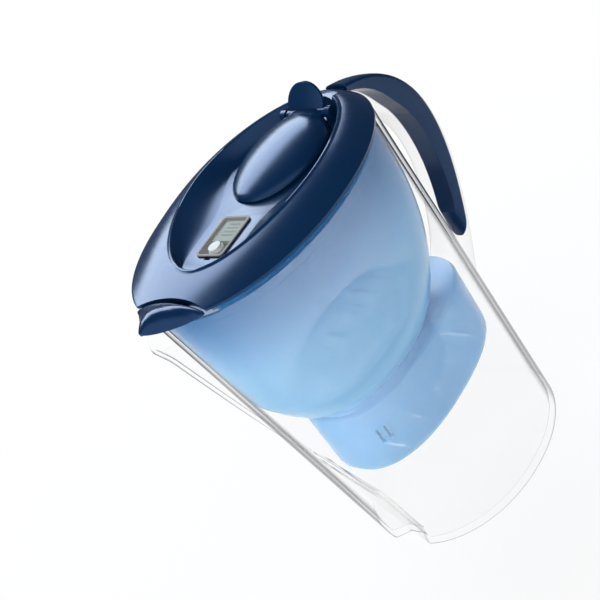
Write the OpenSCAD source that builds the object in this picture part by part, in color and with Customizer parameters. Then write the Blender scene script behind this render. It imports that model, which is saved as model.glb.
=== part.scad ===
// Water filter jug with flip lid
// The foot stands on z = 0 with its centre at the origin. The beak points to -X and the handle to +X.

/* [Jug] */
// Length of the foot, front to back
foot_len = 158; // [152:1:164]
// Width of the foot
foot_wid = 128; // [122:1:134]
// Length of the mouth, without the beak
mouth_len = 194; // [188:1:200]
// Width of the mouth
mouth_wid = 142; // [138:1:146]
// Height of the jug's rim
jug_h = 258; // [250:1:266]
// How far the mouth leans forward over the foot
lean = 24; // [20:1:28]
// Thickness of the jug's wall
wall = 2.6; // [2:0.1:3]
// Thickness of the jug's floor
floor_t = 5; // [3:0.5:7]

/* [Beak] */
// How far the beak stands out in front of the rim
beak_out = 17.5; // [14:0.5:20]
// Half width of the beak at the rim
beak_half = 25; // [20:1:28]
// How far the beak's lip dips below the rim
lip_dip = 7; // [4:0.5:10]
// Height of the waist, where the beak above meets the groove below
waist_z = 126; // [110:1:140]
// Depth of the groove at the foot
groove_in = 9; // [5:0.5:12]
// Half width of the groove at the foot
groove_half = 15; // [11:1:18]

/* [Handle] */
// Width of the handle
handle_wid = 23; // [20:1:26]
// How far the handle reaches behind the foot's centre
handle_reach = 126; // [120:1:130]
// Width of the insert in the handle's back
grip_wid = 18; // [16:0.5:19]
// Depth of the insert
grip_t = 15; // [13:0.5:17]
// Least thickness of the clear plastic under the insert
core_t = 6; // [5:0.5:8]
// Height of the insert's lower end
grip_end_z = 114; // [108:1:120]

/* [Funnel] */
// Thickness of the funnel's wall
funnel_wall = 2; // [1.6:0.1:2.4]
// Free space between the funnel and the jug
funnel_gap = 0.8; // [0.6:0.1:1.2]
// Height of the funnel's basin above its floor
basin_h = 124; // [114:1:130]
// Length of the basin's floor
basin_len = 128; // [120:1:134]
// Width of the basin's floor
basin_wid = 86; // [80:1:92]
// Length of the cartridge well
well_len = 145; // [138:1:146]
// Width of the cartridge well
well_wid = 88; // [84:1:96]
// Height of the cartridge well
well_h = 50; // [46:1:56]

/* [Cartridge] */
// Length of the cartridge's body
cart_len = 106; // [100:1:108]
// Width of the cartridge's body
cart_wid = 56; // [50:1:58]
// Height of the cartridge's body
cart_h = 60; // [54:1:64]
// Wall thickness of the cartridge
cart_wall = 1.6; // [1.2:0.1:2]
// How far the cartridge's shoulder stands out over its body
shoulder_out = 3; // [2.5:0.25:3.5]
// Free play of the cartridge in its seat
cart_gap = 0.4; // [0.3:0.05:0.6]

/* [Lid] */
// Length of the oval crest round the hollow
crest_len = 151; // [146:1:154]
// Width of the oval crest round the hollow
crest_wid = 98; // [92:1:102]
// Height of the crest above the lid's edge
crest_h = 12.5; // [11:0.5:14]
// Height of the hollow's floor above the lid's edge
hollow_h = 1.6; // [1.2:0.1:2.4]
// Thickness of the lid's skin
lid_t = 2.2; // [1.8:0.1:2.6]
// Depth of the skirt that sits inside the funnel's mouth
skirt_h = 7; // [5:0.5:9]
// Free space between pieces that rest on each other
rest_gap = 0.3; // [0.25:0.05:0.4]

/* [Refill flap] */
// Length of the flap
flap_len = 76; // [72:1:80]
// Width of the flap
flap_wid = 60; // [54:1:62]
// Height of the flap's crown over the hollow's floor
flap_h = 12; // [9:0.5:13]
// Width of the thumb tab
tab_wid = 29; // [24:1:31]
// Length of the thumb tab from the flap's axis
tab_h = 20; // [17:0.5:22]
// Radius of the flap's trunnions
trunnion_r = 2; // [1.6:0.1:2.2]
// Running clearance of a trunnion in its bore
trunnion_gap = 0.08; // [0.05:0.01:0.1]

/* [Spout flap] */
// Half width of the spout flap
visor_half = 28.5; // [26:0.5:29]
// Length of the spout flap, from its trunnions to its tip
visor_len = 34; // [32.5:0.5:35]
// Height of the spout flap's tip over its trunnions
visor_rise = 8.6; // [7:0.2:9.6]
// Thickness of the spout flap
visor_t = 1.8; // [1.4:0.1:2.2]

/* [Meter] */
// Length of the meter's face
meter_len = 33; // [32:0.5:35]
// Width of the meter's face
meter_wid = 22.5; // [21.5:0.5:25]
// Depth of the meter's case
meter_h = 10; // [9.5:0.5:11]
// Length of the window in the face
window_len = 30; // [28:0.5:30]
// Width of the window in the face
window_wid = 19.5; // [18:0.5:19.5]
// Diameter of the start button
button_d = 8; // [6:0.5:8]
// Travel of the start button
button_travel = 0.6; // [0.4:0.1:0.7]

/* [Hidden] */
$fn = 64;

// Points round one ring of a lofted shell, without the front points
side_pts = 44;
// Points across the beak or the groove
front_pts = 13;
// Roundness of the ovals: 2 is an ellipse
oval_power = 2.08;
// Height over which the jug's foot is rounded, and how far it draws in
foot_round_h = 4;
foot_round_in = 2.4;

// The lid's edge lies over the jug's rim and the funnel's flange
flange_t = 1.2;
lid_z = jug_h + flange_t + 2 * rest_gap + 0.2;

// ---------- general shapes ----------

function mix(a, b, t) = a + (b - a) * t;

// One coordinate of a superellipse
function rounded(t, power) = sign(t) * pow(abs(t), 2 / power);

// Closed oval ring with n points
function oval(cx, half_l, half_w, z, n = 56, power = oval_power) = [
    for (i = [0:n - 1])
        let (t = 360 * i / n)
        [cx + half_l * rounded(cos(t), power), half_w * rounded(sin(t), power), z]
];

// Point on a cubic curve with four control points
function curve(p, t) =
    pow(1 - t, 3) * p[0] + 3 * t * pow(1 - t, 2) * p[1] + 3 * t * t * (1 - t) * p[2] + pow(t, 3) * p[3];

// Solid skinned over rings with equally many points, closed flat at both ends
module skin(rings) {
    n = len(rings[0]);
    m = len(rings);
    polyhedron(
        points = [for (r = rings) each r],
        faces = concat(
            [[for (i = [0:n - 1]) i]],
            [
                for (k = [0:m - 2], i = [0:n - 1])
                    let (j = (i + 1) % n, a = k * n, b = (k + 1) * n)
                    each [[a + i, b + i, b + j], [a + i, b + j, a + j]]
            ],
            [[for (i = [n - 1:-1:0]) (m - 1) * n + i]]
        )
    );
}

// Flat oval plate
module oval_plate(half_l, half_w, h, power = oval_power) {
    linear_extrude(h)
        polygon([for (p = oval(0, half_l, half_w, 0, 64, power)) [p[0], p[1]]]);
}

// Bar along y with round ends, centred on x and y
module round_bar(w, l, h) {
    block(w, l - w, h);
    for (side = [-1, 1])
        translate([0, side * (l - w) / 2, 0])
            cylinder(d = w, h = h, $fn = 24);
}

// Box centred on x and y, standing on z = 0
module block(l, w, h) {
    translate([-l / 2, -w / 2, 0])
        cube([l, w, h]);
}

// The same box with round corners
module round_block(l, w, h, r) {
    block(l, w - 2 * r, h);
    block(l - 2 * r, w, h);
    for (x = [-1, 1], y = [-1, 1])
        translate([x * (l / 2 - r), y * (w / 2 - r), 0])
            cylinder(r = r, h = h, $fn = 24);
}

// ---------- the jug's form ----------

function up(z) = z / jug_h;
function jug_cx(z) = -lean * up(z);
function jug_half_l(z) = mix(foot_len, mouth_len, up(z)) / 2;
function jug_half_w(z) = mix(foot_wid, mouth_wid, up(z)) / 2;
function jug_rear(z) = jug_cx(z) + jug_half_l(z);
function jug_front(z) = jug_cx(z) - jug_half_l(z);

// Half width between the two crisp folds at the front, narrowest at the waist
function fold_half(z) =
    z > waist_z
        ? mix(2.5, beak_half, (z - waist_z) / (jug_h - waist_z))
        : mix(2.5, groove_half, (waist_z - z) / waist_z);

// How far the front stands out of the oval (beak) or into it (groove)
function front_out(z) =
    z > waist_z
        ? beak_out * pow((z - waist_z + 8) / (jug_h - waist_z + 8), 0.75)
        : mix(
            beak_out * pow(8 / (jug_h - waist_z + 8), 0.75),
            -groove_in,
            min(1, (waist_z - z) / (0.6 * waist_z))
        );

// Form of the beak or the groove across its width, 0 at the folds and 1 in the middle
function front_form(v, z) =
    front_out(z) > 0 ? 1 - pow(abs(v), 1.5) : min(1, 1.7 * (1 - abs(v)));

// The rim dips towards the lip
function rim_dip(v) = lip_dip * (1 - pow(abs(v), 3));

// One ring of the jug, drawn a little way inside its outer face.
// at_rim lets the ring follow the dip of the lip; widen lets the inner face keep off the folds
function jug_ring(z, inset, at_rim = 0, widen = 0.6) =
    let (
        cx = jug_cx(z),
        a = jug_half_l(z) - inset,
        b = jug_half_w(z) - inset,
        fold = max(1, fold_half(z) - sign(front_out(z)) * inset * widen),
        side = asin(pow(fold / b, oval_power / 2))
    )
    concat(
        [
            for (i = [0:side_pts - 1])
                let (t = mix(-180 + side, 180 - side, i / (side_pts - 1)))
                [cx + a * rounded(cos(t), oval_power), b * rounded(sin(t), oval_power), z]
        ],
        [
            for (i = [1:front_pts - 2])
                let (
                    v = 1 - 2 * i / (front_pts - 1),
                    y = v * fold,
                    x = cx - a * pow(1 - pow(abs(y / b), oval_power), 1 / oval_power)
                )
                [x - front_out(z) * front_form(v, z), y, z - at_rim * rim_dip(v)]
        ]
    );

// ---------- the handle's form ----------

// Outer and inner outline of the handle, seen from the side
handle_top = jug_h + 6;
handle_root = 0.28 * jug_h;
handle_outer = [
    [jug_rear(jug_h) - 3, handle_top],
    [handle_reach + 61, handle_top - 34],
    [handle_reach - 33.5, handle_root + 26],
    [jug_rear(handle_root) - 1.8, handle_root]
];
hole_top = jug_h - 22;
hole_root = 0.45 * jug_h;
handle_inner = [
    [jug_rear(hole_top) - 1.8, hole_top],
    [handle_reach - 8, hole_top - 10],
    [handle_reach - 9, hole_root + 42],
    [jug_rear(hole_root) - 1.8, hole_root]
];

// One section of a piece in the handle. The section is given as [depth, y] pairs, where depth
// runs from 0 on the inner outline to 1 on the outer one
function handle_section(t, pairs) =
    let (p = curve(handle_inner, t), q = curve(handle_outer, t))
    [for (s = pairs) let (c = mix(p, q, s[0])) [c[0], s[1], c[1]]];

function handle_depth(t) = norm(curve(handle_outer, t) - curve(handle_inner, t));

// Share of the insert's full depth: it starts as a thin tongue beside the lid
function grip_share(t) = let (s = min(1, t / 0.25)) mix(0.3, 1, s * s * (3 - 2 * s));

// Thickness of the clear plastic under the insert
function core_depth(t) = max(core_t, handle_depth(t) - grip_t * grip_share(t));

// Where along the handle the insert's channel begins and ends
grip_from = 0.016;
function grip_until(t = 0.5) =
    curve(handle_outer, t)[1] < grip_end_z ? t : grip_until(t + 0.01);
grip_to = grip_until();
// The channel's lower end is round over this share of the handle
grip_round = 0.05;

// Half width of the channel, narrowing in its round end
function grip_half(t) =
    grip_wid / 2 * sqrt(1 - pow(max(0, t - grip_to + grip_round) / (grip_round + 0.002), 2));

// Stations along the channel, close together in its round end
grip_steps = [
    each [for (k = [0:19]) mix(grip_from, grip_to - grip_round, k / 19)],
    each [for (k = [0.2, 0.4, 0.55, 0.7, 0.8, 0.9, 0.96, 1]) grip_to - grip_round * (1 - k)]
];
handle_steps = [
    0, grip_from - 0.001, each grip_steps, grip_to + 0.001,
    each [for (k = [1:4]) mix(grip_to, 1, k / 4)]
];

// Section of the clear core with a channel in its back
function core_section(t) =
    let (
        d = handle_depth(t),
        w = handle_wid / 2,
        g = max(2, grip_half(min(t, grip_to))),
        inside = t >= grip_from && t <= grip_to,
        c = inside ? core_depth(t) / d : 0.97
    )
    handle_section(t, [
        [0, w - 6], [0.04, w - 3], [0.15, w - 0.8], [0.5, w], [0.97, w - 0.6], [1, w - 2],
        [1, g], [c, g - 1.5], [c, -g + 1.5], [1, -g],
        [1, 2 - w], [0.97, 0.6 - w], [0.5, -w], [0.15, 0.8 - w], [0.04, 3 - w], [0, 6 - w]
    ]);

// Section of the insert, crowned on its back
function grip_section(t) =
    let (
        d = handle_depth(t),
        g = grip_half(t) - 0.3,
        c = (core_depth(t) + 0.6) / d
    )
    handle_section(t, [
        [c, g - 1.5], [1, g], [1 + 0.8 / d, g * 0.84], [1 + 2 / d, g / 2],
        [1 + 2.3 / d, 0], [1 + 2 / d, -g / 2], [1 + 0.8 / d, -g * 0.84], [1, -g], [c, 1.5 - g]
    ]);

// ---------- the funnel's form ----------

basin_z = jug_h - basin_h;
well_top = basin_z - 11;
well_z = well_top - well_h;
well_cx = jug_rear(jug_h) - wall - funnel_gap - 2 - well_len / 2;
well_power = 2.4;
// Free length of the well in front of the cartridge
cart_room = 4.4;
// The cartridge hangs in the front of the well, and the basin lies over it
cart_cx = well_cx - well_len / 2 + cart_room + cart_len / 2;
basin_cx = cart_cx;

// Lower edge of the bead round the mouth, and how far the bead stands out
bead_z = jug_h - 9;
bead_out = 0.35;

// Share of the way from the basin's floor to its mouth, swelling quickly at first
function swell(z) = 1 - pow(1 - (z - basin_z) / basin_h, 3);

function funnel_rear(z) =
    min(
        jug_rear(jug_h) - wall - funnel_gap,
        mix(basin_cx + basin_len / 2, jug_rear(jug_h) - wall - funnel_gap, swell(z))
    );
function funnel_front(z) =
    max(
        jug_front(z) + wall + funnel_gap,
        mix(basin_cx - basin_len / 2, jug_front(jug_h) + wall + funnel_gap, swell(z))
    );
function funnel_half_w(z) =
    min(
        jug_half_w(z) - wall - funnel_gap,
        mix(basin_wid / 2, jug_half_w(jug_h) - wall - funnel_gap, swell(z))
    );

function funnel_ring(z, inset) =
    oval(
        (funnel_rear(z) + funnel_front(z)) / 2,
        (funnel_rear(z) - funnel_front(z)) / 2 - inset,
        funnel_half_w(z) - inset,
        z
    );

// ---------- the cartridge's form ----------

seat_z = basin_z + funnel_wall;
seal_t = 1.2;
// The shoulder lies on the seal, and the seal on the funnel's floor
shoulder_z = seat_z + rest_gap + seal_t + 0.1;
shoulder_t = 3;
cart_bottom = shoulder_z - cart_h + 8;
cart_top = shoulder_z + shoulder_t;
screen_t = 0.6;
cap_h = 14;
ring_r = 10;
ring_wire_r = 1.6;

// ---------- the lid's form ----------

crest_cx = jug_cx(jug_h) + 10;
hollow_z = lid_z + hollow_h;
// The hollow's floor is this much smaller than the crest on each side
hollow_in = 9;
// The crest is a little blunter than an ellipse at its sides and sharper at its ends
crest_power = 1.85;
lid_pts = 56;
skirt_t = 1.6;
// Free space between the skirt and the funnel
skirt_gap = 0.5;

// Height of the crest: it falls off towards the front and the rear
function crest_z(t) = lid_z + crest_h - 3.6 * cos(t) * cos(t) + 1.3 * cos(t);

function crest_ring(grow, drop) = [
    for (i = [0:lid_pts - 1])
        let (t = 360 * i / lid_pts)
        [
            crest_cx + (crest_len / 2 + grow) * rounded(cos(t), crest_power),
            (crest_wid / 2 + grow) * rounded(sin(t), crest_power),
            crest_z(t) - drop
        ]
];

// The hollow's floor is a straight strip round the meter and widens under the refill flap
strip_half = 19.5;
strip_power = 6;
// The strip runs up to this distance from the crest's front
strip_end = 4;

// Share of the strip's form in the floor's outline: 1 at its front and 0 at its rear
function strip_share(c) =
    let (t = max(0, min(1, (0.4 - c) / 0.9)))
    t * t * (3 - 2 * t);

function hollow_ring(z) = [
    for (i = [0:lid_pts - 1])
        let (
            t = 360 * i / lid_pts,
            c = cos(t),
            reach = crest_len / 2 - (c < 0 ? strip_end : hollow_in),
            strip = strip_half * pow(1 - pow(abs(c), strip_power), 1 / strip_power),
            egg = (crest_wid / 2 - hollow_in) * abs(sin(t))
        )
        [crest_cx + reach * c, sign(sin(t)) * mix(egg, strip, strip_share(c)), z]
];

function lid_ring(grow, z) =
    oval(jug_cx(jug_h), mouth_len / 2 + grow, mouth_wid / 2 + grow, z, lid_pts);

function skirt_ring(inset, z) =
    funnel_ring(z, funnel_wall + skirt_gap + inset);

// Ring part of the way between two rings, bulged upwards, and less so by the share flat in front
function between(r, s, t, bulge, flat = 0) = [
    for (i = [0:len(r) - 1])
        let (front = pow(max(0, -cos(360 * i / len(r))), 2))
        mix(r[i], s[i], t) + [0, 0, bulge * (1 - flat * front) * sin(180 * t)]
];

// ---------- the refill flap's place ----------

flap_axis_x = crest_cx + crest_len / 2 - 15.5;
flap_cx = flap_axis_x + 1.5 - flap_len / 2;
flap_z = hollow_z + 0.5;
flap_axis_z = hollow_z + 5;
flap_t = 2;
// How far the thumb tab leans back
tab_lean = 30;
tab_t = 3;
hub_r = 3.2;
// How far the flap's crown lies behind the middle of its edge
crown_back = 13;
flap_ear_y = 16.7;
ear_t = 4;
ear_gap = 0.4;

// ---------- the spout flap's place ----------

// How far its trunnions lie behind the mouth's front
visor_back = 17;
visor_axis_x = jug_front(jug_h) + visor_back;
visor_axis_z = lid_z - 2.6;
// The lid ends over the spout flap in an arc that comes nearest to the trunnions in the middle
visor_cut_x = visor_axis_x - 4.1;
visor_cut_r = 86;
visor_ear_y = 20;
barrel_r = 2.6;
// Sections from the trunnions to the tip. Each has its share of the length, its share of the half
// width, and the heights of its crown and its edge over the trunnions, as shares of the rise
visor_form = [
    [0.06, 0.30, 0.12, 0.10], [0.135, 0.30, 0.22, 0.20], [0.17, 0.36, 0.42, 0.26],
    [0.19, 0.50, 0.58, 0.29], [0.215, 0.66, 0.72, 0.31], [0.25, 0.82, 0.88, 0.32],
    [0.295, 0.97, 1.02, 0.33], [0.33, 0.985, 1.10, 0.33], [0.42, 0.86, 1.27, 0.33],
    [0.553, 0.69, 1.45, 0.36], [0.66, 0.545, 1.51, 0.45], [0.774, 0.39, 1.50, 0.59],
    [0.88, 0.25, 1.38, 0.77], [0.955, 0.14, 1.23, 0.94], [1, 0.04, 1.09, 1.07]
];

// ---------- the meter's place ----------

meter_cx = crest_cx - 0.2815 * crest_len;
meter_top = hollow_z + 1.2;
meter_bottom = meter_top - meter_h;
meter_gap = 0.35;
// The face overhangs the case's body by this much
bezel = 1;
corner_r = 3;
case_l = meter_len - 2 * bezel;
case_w = meter_wid - 2 * bezel;
case_t = 1.3;
inner_l = case_l - 2 * case_t;
inner_w = case_w - 2 * case_t;
window_t = 1.2;
window_z = meter_top - window_t;
// The display fills the rear of the window and the button stands in its front
display_l = 17;
display_t = 1.8;
bar_w = 1.2;
display_cx = meter_cx + inner_l / 2 - display_l / 2 - 0.2;
display_z = window_z - 0.3 - display_t;
button_cx = meter_cx - window_len / 2 + 6;
board_t = 0.8;
board_z = display_z - 1.6 - board_t;
cell_r = 6.25;
cell_h = 2;
contact_t = 0.3;
cell_z = board_z - contact_t - 0.1 - cell_h;
back_t = 1.1;

// ---------- sub-parts: jug ----------

module jug_body() {
    color([0.9, 0.93, 0.96, 0.35])
    union() {
        skin(concat(
            [jug_ring(0, foot_round_in, 0, 0), jug_ring(foot_round_h / 3, foot_round_in / 3, 0, 0)],
            [for (k = [0:6]) jug_ring(mix(foot_round_h, waist_z, k / 6), 0)],
            [for (k = [1:7]) jug_ring(mix(waist_z, jug_h, k / 7), 0, k == 7 ? 1 : 0)],
            [for (k = [7:-1:1]) jug_ring(mix(waist_z, jug_h, k / 7), wall, k == 7 ? 1 : 0)],
            [for (k = [6:-1:0]) jug_ring(mix(floor_t + 3, waist_z, k / 6), wall)],
            [jug_ring(floor_t, wall + 2.5)]
        ));
        difference() {
            skin([for (t = handle_steps) core_section(t)]);
            // the lid's edge passes in front of the handle's top
            translate([jug_cx(jug_h), 0, jug_h])
                oval_plate(mouth_len / 2 + 0.6, mouth_wid / 2 + 0.6, 20);
        }
    }
}

module handle_grip() {
    color([0.07, 0.15, 0.32])
    skin([for (t = grip_steps) grip_section(max(grip_from + 0.002, min(grip_to - 0.002, t)))]);
}

// ---------- sub-parts: funnel ----------

// Ring of the well's outside
function well_ring(inset, z) =
    oval(well_cx, well_len / 2 - inset, well_wid / 2 - inset, z, 56, well_power);

module well_cut(inset, z, h) {
    translate([well_cx, 0, z])
        oval_plate(well_len / 2 - inset, well_wid / 2 - inset, h, well_power);
}

module funnel() {
    inside = funnel_wall + 0.6;
    color([0.56, 0.72, 0.88, 0.6])
    difference() {
        skin(concat(
            // outside, from the well's floor up
            [well_ring(6, well_z), well_ring(1.2, well_z + 2.5), well_ring(0.5, well_z + 7)],
            [well_ring(0, well_top), well_ring(1.5, well_top + 2.5)],
            [oval(basin_cx, basin_len / 2 - 5, basin_wid / 2 - 4, basin_z - 5)],
            [oval(basin_cx, basin_len / 2 - 2, basin_wid / 2 - 2, basin_z - 1)],
            [for (k = [1:7]) funnel_ring(mix(basin_z, jug_h + rest_gap, pow(k / 8, 1.3)), 0)],
            // bead round the mouth
            [funnel_ring(bead_z, 0), funnel_ring(bead_z + bead_out, -bead_out)],
            [funnel_ring(jug_h + rest_gap, -bead_out)],
            // flange over the jug's rim
            [lid_ring(-0.6, jug_h + rest_gap), lid_ring(-0.6, jug_h + rest_gap + flange_t)],
            // inside, from the mouth down
            [funnel_ring(jug_h - 0.3, funnel_wall)],
            [for (k = [7:-1:1]) funnel_ring(mix(seat_z, jug_h, pow(k / 8, 1.3)), funnel_wall)],
            [oval(basin_cx, basin_len / 2 - 5, basin_wid / 2 - 5, seat_z)]
        ));
        // the well, its neck and the seat of the cartridge
        well_cut(inside + 0.8, well_z + funnel_wall, well_h - 2 * funnel_wall);
        translate([basin_cx + 1.5, 0, well_top - funnel_wall - 1])
            oval_plate(
                basin_len / 2 - 6.5 - inside,
                basin_wid / 2 - 4 - inside,
                basin_z - well_top + funnel_wall
            );
        translate([cart_cx, 0, well_top])
            oval_plate(cart_len / 2 + cart_gap, cart_wid / 2 + cart_gap, jug_h);
        // outlets in the well's floor and its front
        for (k = [-2:2])
            translate([well_cx + 24 * k, 0, well_z - 1])
                round_bar(3, 46, well_h / 5);
        for (side = [-1, 1], k = [0, 1])
            translate([well_cx, 0, well_z + 22])
                rotate(180 + side * (23 + 4.5 * k))
                translate([well_wid / 2, -1.1, 0])
                cube([well_len / 2, 2.2, 11]);
        // room for the spout flap
        translate([jug_front(jug_h) - 1, -visor_half - 3, jug_h - 4])
            cube([visor_axis_x - jug_front(jug_h) + 1, 2 * visor_half + 6, 2 * 4]);
    }
}

// ---------- sub-parts: cartridge ----------

module cartridge_body() {
    color([0.93, 0.95, 0.97])
    translate([cart_cx, 0, 0])
    difference() {
        union() {
            translate([0, 0, cart_bottom])
                oval_plate(cart_len / 2, cart_wid / 2, cart_top - cart_bottom);
            translate([0, 0, shoulder_z])
                oval_plate(cart_len / 2 + shoulder_out, cart_wid / 2 + shoulder_out, shoulder_t);
        }
        translate([0, 0, cart_bottom + cart_wall])
            oval_plate(cart_len / 2 - cart_wall, cart_wid / 2 - cart_wall, cart_h);
        for (k = [-3:3])
            translate([12 * k, 0, cart_bottom - 1])
                round_bar(2.4, 22, 2 * cart_wall);
    }
}

module cartridge_cap() {
    cap_z = cart_top + 0.1;
    color([0.93, 0.95, 0.97])
    translate([cart_cx, 0, 0]) {
        difference() {
            skin([
                oval(0, cart_len / 2 - 3.5, cart_wid / 2 - 3.5, cap_z + cap_h - 4, 40),
                oval(0, cart_len / 2 - cart_wall, cart_wid / 2 - cart_wall, cap_z + cap_h - 8, 40),
                oval(0, cart_len / 2 - cart_wall, cart_wid / 2 - cart_wall, cap_z, 40),
                oval(0, cart_len / 2 + 1, cart_wid / 2 + 1, cap_z, 40),
                oval(0, cart_len / 2 + 0.4, cart_wid / 2 + 0.4, cap_z + cap_h - 7, 40),
                oval(0, cart_len / 2 - 3, cart_wid / 2 - 3, cap_z + cap_h - 2.5, 40),
                oval(0, cart_len / 2 - 9, cart_wid / 2 - 9, cap_z + cap_h, 40)
            ]);
            for (side = [-1, 1], k = [1:3])
                translate([side * 12.5 * k, 0, cap_z + cap_h - 8])
                    round_bar(2, 20, 12);
        }
        // pull ring
        translate([0, 0, cap_z + cap_h - 1])
            rotate([90, 0, 0])
            rotate_extrude(angle = 180)
            translate([ring_r, 0])
            circle(ring_wire_r);
    }
}

module cartridge_seal() {
    color([0.2, 0.35, 0.6])
    translate([cart_cx, 0, seat_z + rest_gap])
    difference() {
        oval_plate(cart_len / 2 + shoulder_out - 0.3, cart_wid / 2 + shoulder_out - 0.3, seal_t);
        translate([0, 0, -1])
            oval_plate(cart_len / 2 + 0.1, cart_wid / 2 + 0.1, seal_t + 2);
    }
}

module cartridge_plug(inset, z, h) {
    translate([cart_cx, 0, z])
        oval_plate(cart_len / 2 - cart_wall - inset, cart_wid / 2 - cart_wall - inset, h);
}

module cartridge_top_screen() {
    color([0.85, 0.88, 0.9])
    cartridge_plug(0.15, cart_top - screen_t - 0.4, screen_t);
}

module cartridge_base_screen() {
    color([0.85, 0.88, 0.9])
    cartridge_plug(0.15, cart_bottom + cart_wall + 0.1, screen_t);
}

module filter_granules() {
    low = cart_bottom + cart_wall + screen_t + 0.3;
    color([0.45, 0.33, 0.2])
    cartridge_plug(0.4, low, cart_top - screen_t - 0.8 - low);
}

// ---------- sub-parts: lid ----------

// Hinge ear with a bore along Y, standing over z = low
module hinge_ear(x, y, z, r, low, t) {
    translate([x, y - t / 2, 0])
    difference() {
        union() {
            translate([0, 0, z])
                rotate([-90, 0, 0])
                cylinder(r = r, h = t);
            translate([-r, 0, low])
                cube([2 * r, t, z - low]);
        }
        translate([0, -1, z])
            rotate([-90, 0, 0])
            cylinder(r = trunnion_r + trunnion_gap, h = t + 2);
    }
}

module lid_shell() {
    fill_l = flap_len / 2 - 10;
    fill_w = flap_wid / 2 - 9;
    edge_top = lid_ring(0.2, lid_z + 1.6);
    crest_out = crest_ring(1.4, 0.7);
    crest_in = crest_ring(-1.2, 0.7);
    color([0.07, 0.15, 0.32]) {
        difference() {
            skin(concat(
                // underside, from the hollow's floor to the skirt
                [hollow_ring(hollow_z - lid_t), crest_ring(-1, lid_t + 0.6)],
                [skirt_ring(skirt_t, lid_z), skirt_ring(skirt_t, lid_z - skirt_h)],
                // skirt and edge
                [skirt_ring(0, lid_z - skirt_h), skirt_ring(0, lid_z)],
                [lid_ring(0, lid_z), edge_top],
                // top, from the edge over the crest to the hollow's floor
                [for (k = [1:3]) between(edge_top, crest_out, k / 4, 1.5, 0.8)],
                [crest_out, crest_ring(0, 0), crest_in],
                [for (k = [1:4]) between(crest_in, hollow_ring(hollow_z), k / 5, -1.6)],
                [hollow_ring(hollow_z)]
            ));
            // fill opening under the flap
            translate([flap_cx - 4, 0, hollow_z - 2 * lid_t])
                oval_plate(fill_l, fill_w, 4 * lid_t, 2.2);
            // seat of the meter
            translate([meter_cx, 0, hollow_z - 2 * lid_t])
                round_block(case_l + 2 * meter_gap, case_w + 2 * meter_gap, 4 * lid_t, corner_r);
            // way for the thumb tab when the flap is open
            translate([flap_axis_x + hub_r + 1.6, -tab_wid / 2 - 1.5, flap_axis_z + 2.3])
                cube([22, tab_wid + 3, crest_h]);
            // mouth for the spout flap, and room for its barrel under the lid
            translate([visor_cut_x - visor_cut_r, 0, lid_z - 1])
                cylinder(r = visor_cut_r, h = crest_h, $fn = 128);
            translate([jug_front(jug_h) - 2, -visor_half - 1, lid_z - skirt_h - 1])
                cube([visor_back + 5, 2 * visor_half + 2, skirt_h + 1]);
            // slot for the nail that lifts the meter out
            translate([meter_cx - meter_len / 2 - 1.2, 0, hollow_z - 1])
                block(2.4, 5, 2);
        }
        for (side = [-1, 1]) {
            hinge_ear(
                flap_axis_x, side * (flap_ear_y + ear_t / 2), flap_axis_z,
                trunnion_r + 2, hollow_z - lid_t, ear_t
            );
        }
        visor_ears();
    }
}

// Ears of the spout flap hang under the lid behind its mouth
module visor_ears() {
    reach = trunnion_r + 1.8;
    for (side = [-1, 1])
        translate([visor_axis_x, side * (visor_ear_y + ear_t / 2) - ear_t / 2, 0])
        difference() {
            union() {
                translate([0, 0, visor_axis_z])
                    rotate([-90, 0, 0])
                    cylinder(r = reach, h = ear_t);
                translate([-reach, 0, visor_axis_z])
                    cube([2 * reach, ear_t, lid_z - visor_axis_z + lid_t]);
            }
            translate([0, -1, visor_axis_z])
                rotate([-90, 0, 0])
                cylinder(r = trunnion_r + trunnion_gap, h = ear_t + 2);
        }
}

// One section of the saddle that carries the refill flap's crown on to its hub
function saddle_ring(t) =
    let (
        x = mix(flap_cx + crown_back + 6, flap_axis_x, t),
        top = mix(flap_z + flap_h - 0.7, flap_axis_z + hub_r + 0.5, t * t),
        low = mix(flap_z + flap_h / 2, flap_axis_z, t),
        half = mix(13, flap_ear_y - ear_gap - 1, t)
    )
    [for (i = [0:10]) [x, half * cos(18 * i), low + (top - low) * pow(sin(18 * i), 0.8)]];

module refill_flap() {
    half_l = flap_len / 2;
    half_w = flap_wid / 2;
    // share of the half length and of the height, from the flap's edge to its crown
    steps = [for (a = [0:15:75]) [cos(a), sin(a)]];
    color([0.07, 0.15, 0.32]) {
        skin(concat(
            [for (k = [len(steps) - 1:-1:0])
                oval(flap_cx + crown_back * pow(steps[k][1], 2), (half_l - flap_t) * steps[k][0],
                    (half_w - flap_t) * steps[k][0], flap_z + (flap_h - flap_t) * steps[k][1], 48)],
            [for (s = steps)
                oval(flap_cx + crown_back * s[1] * s[1], half_l * s[0], half_w * s[0],
                    flap_z + flap_h * s[1], 48)]
        ));
        skin([for (k = [0:5]) saddle_ring(k / 5)]);
        // thumb tab
        translate([flap_axis_x, 0, flap_axis_z])
            rotate([0, tab_lean, 0])
            translate([-tab_t / 2, 0, 0])
            rotate([90, 0, 90])
            linear_extrude(tab_t)
            intersection() {
                translate([0, tab_h - tab_wid / 2])
                    circle(d = tab_wid);
                translate([-tab_wid / 2, 0])
                    square([tab_wid, tab_h]);
            }
        // hub and trunnions
        translate([flap_axis_x, 0, flap_axis_z])
            rotate([90, 0, 0]) {
                cylinder(r = hub_r, h = 2 * (flap_ear_y - ear_gap), center = true);
                cylinder(r = trunnion_r, h = 2 * (flap_ear_y + ear_t - ear_gap), center = true);
            }
    }
}

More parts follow.
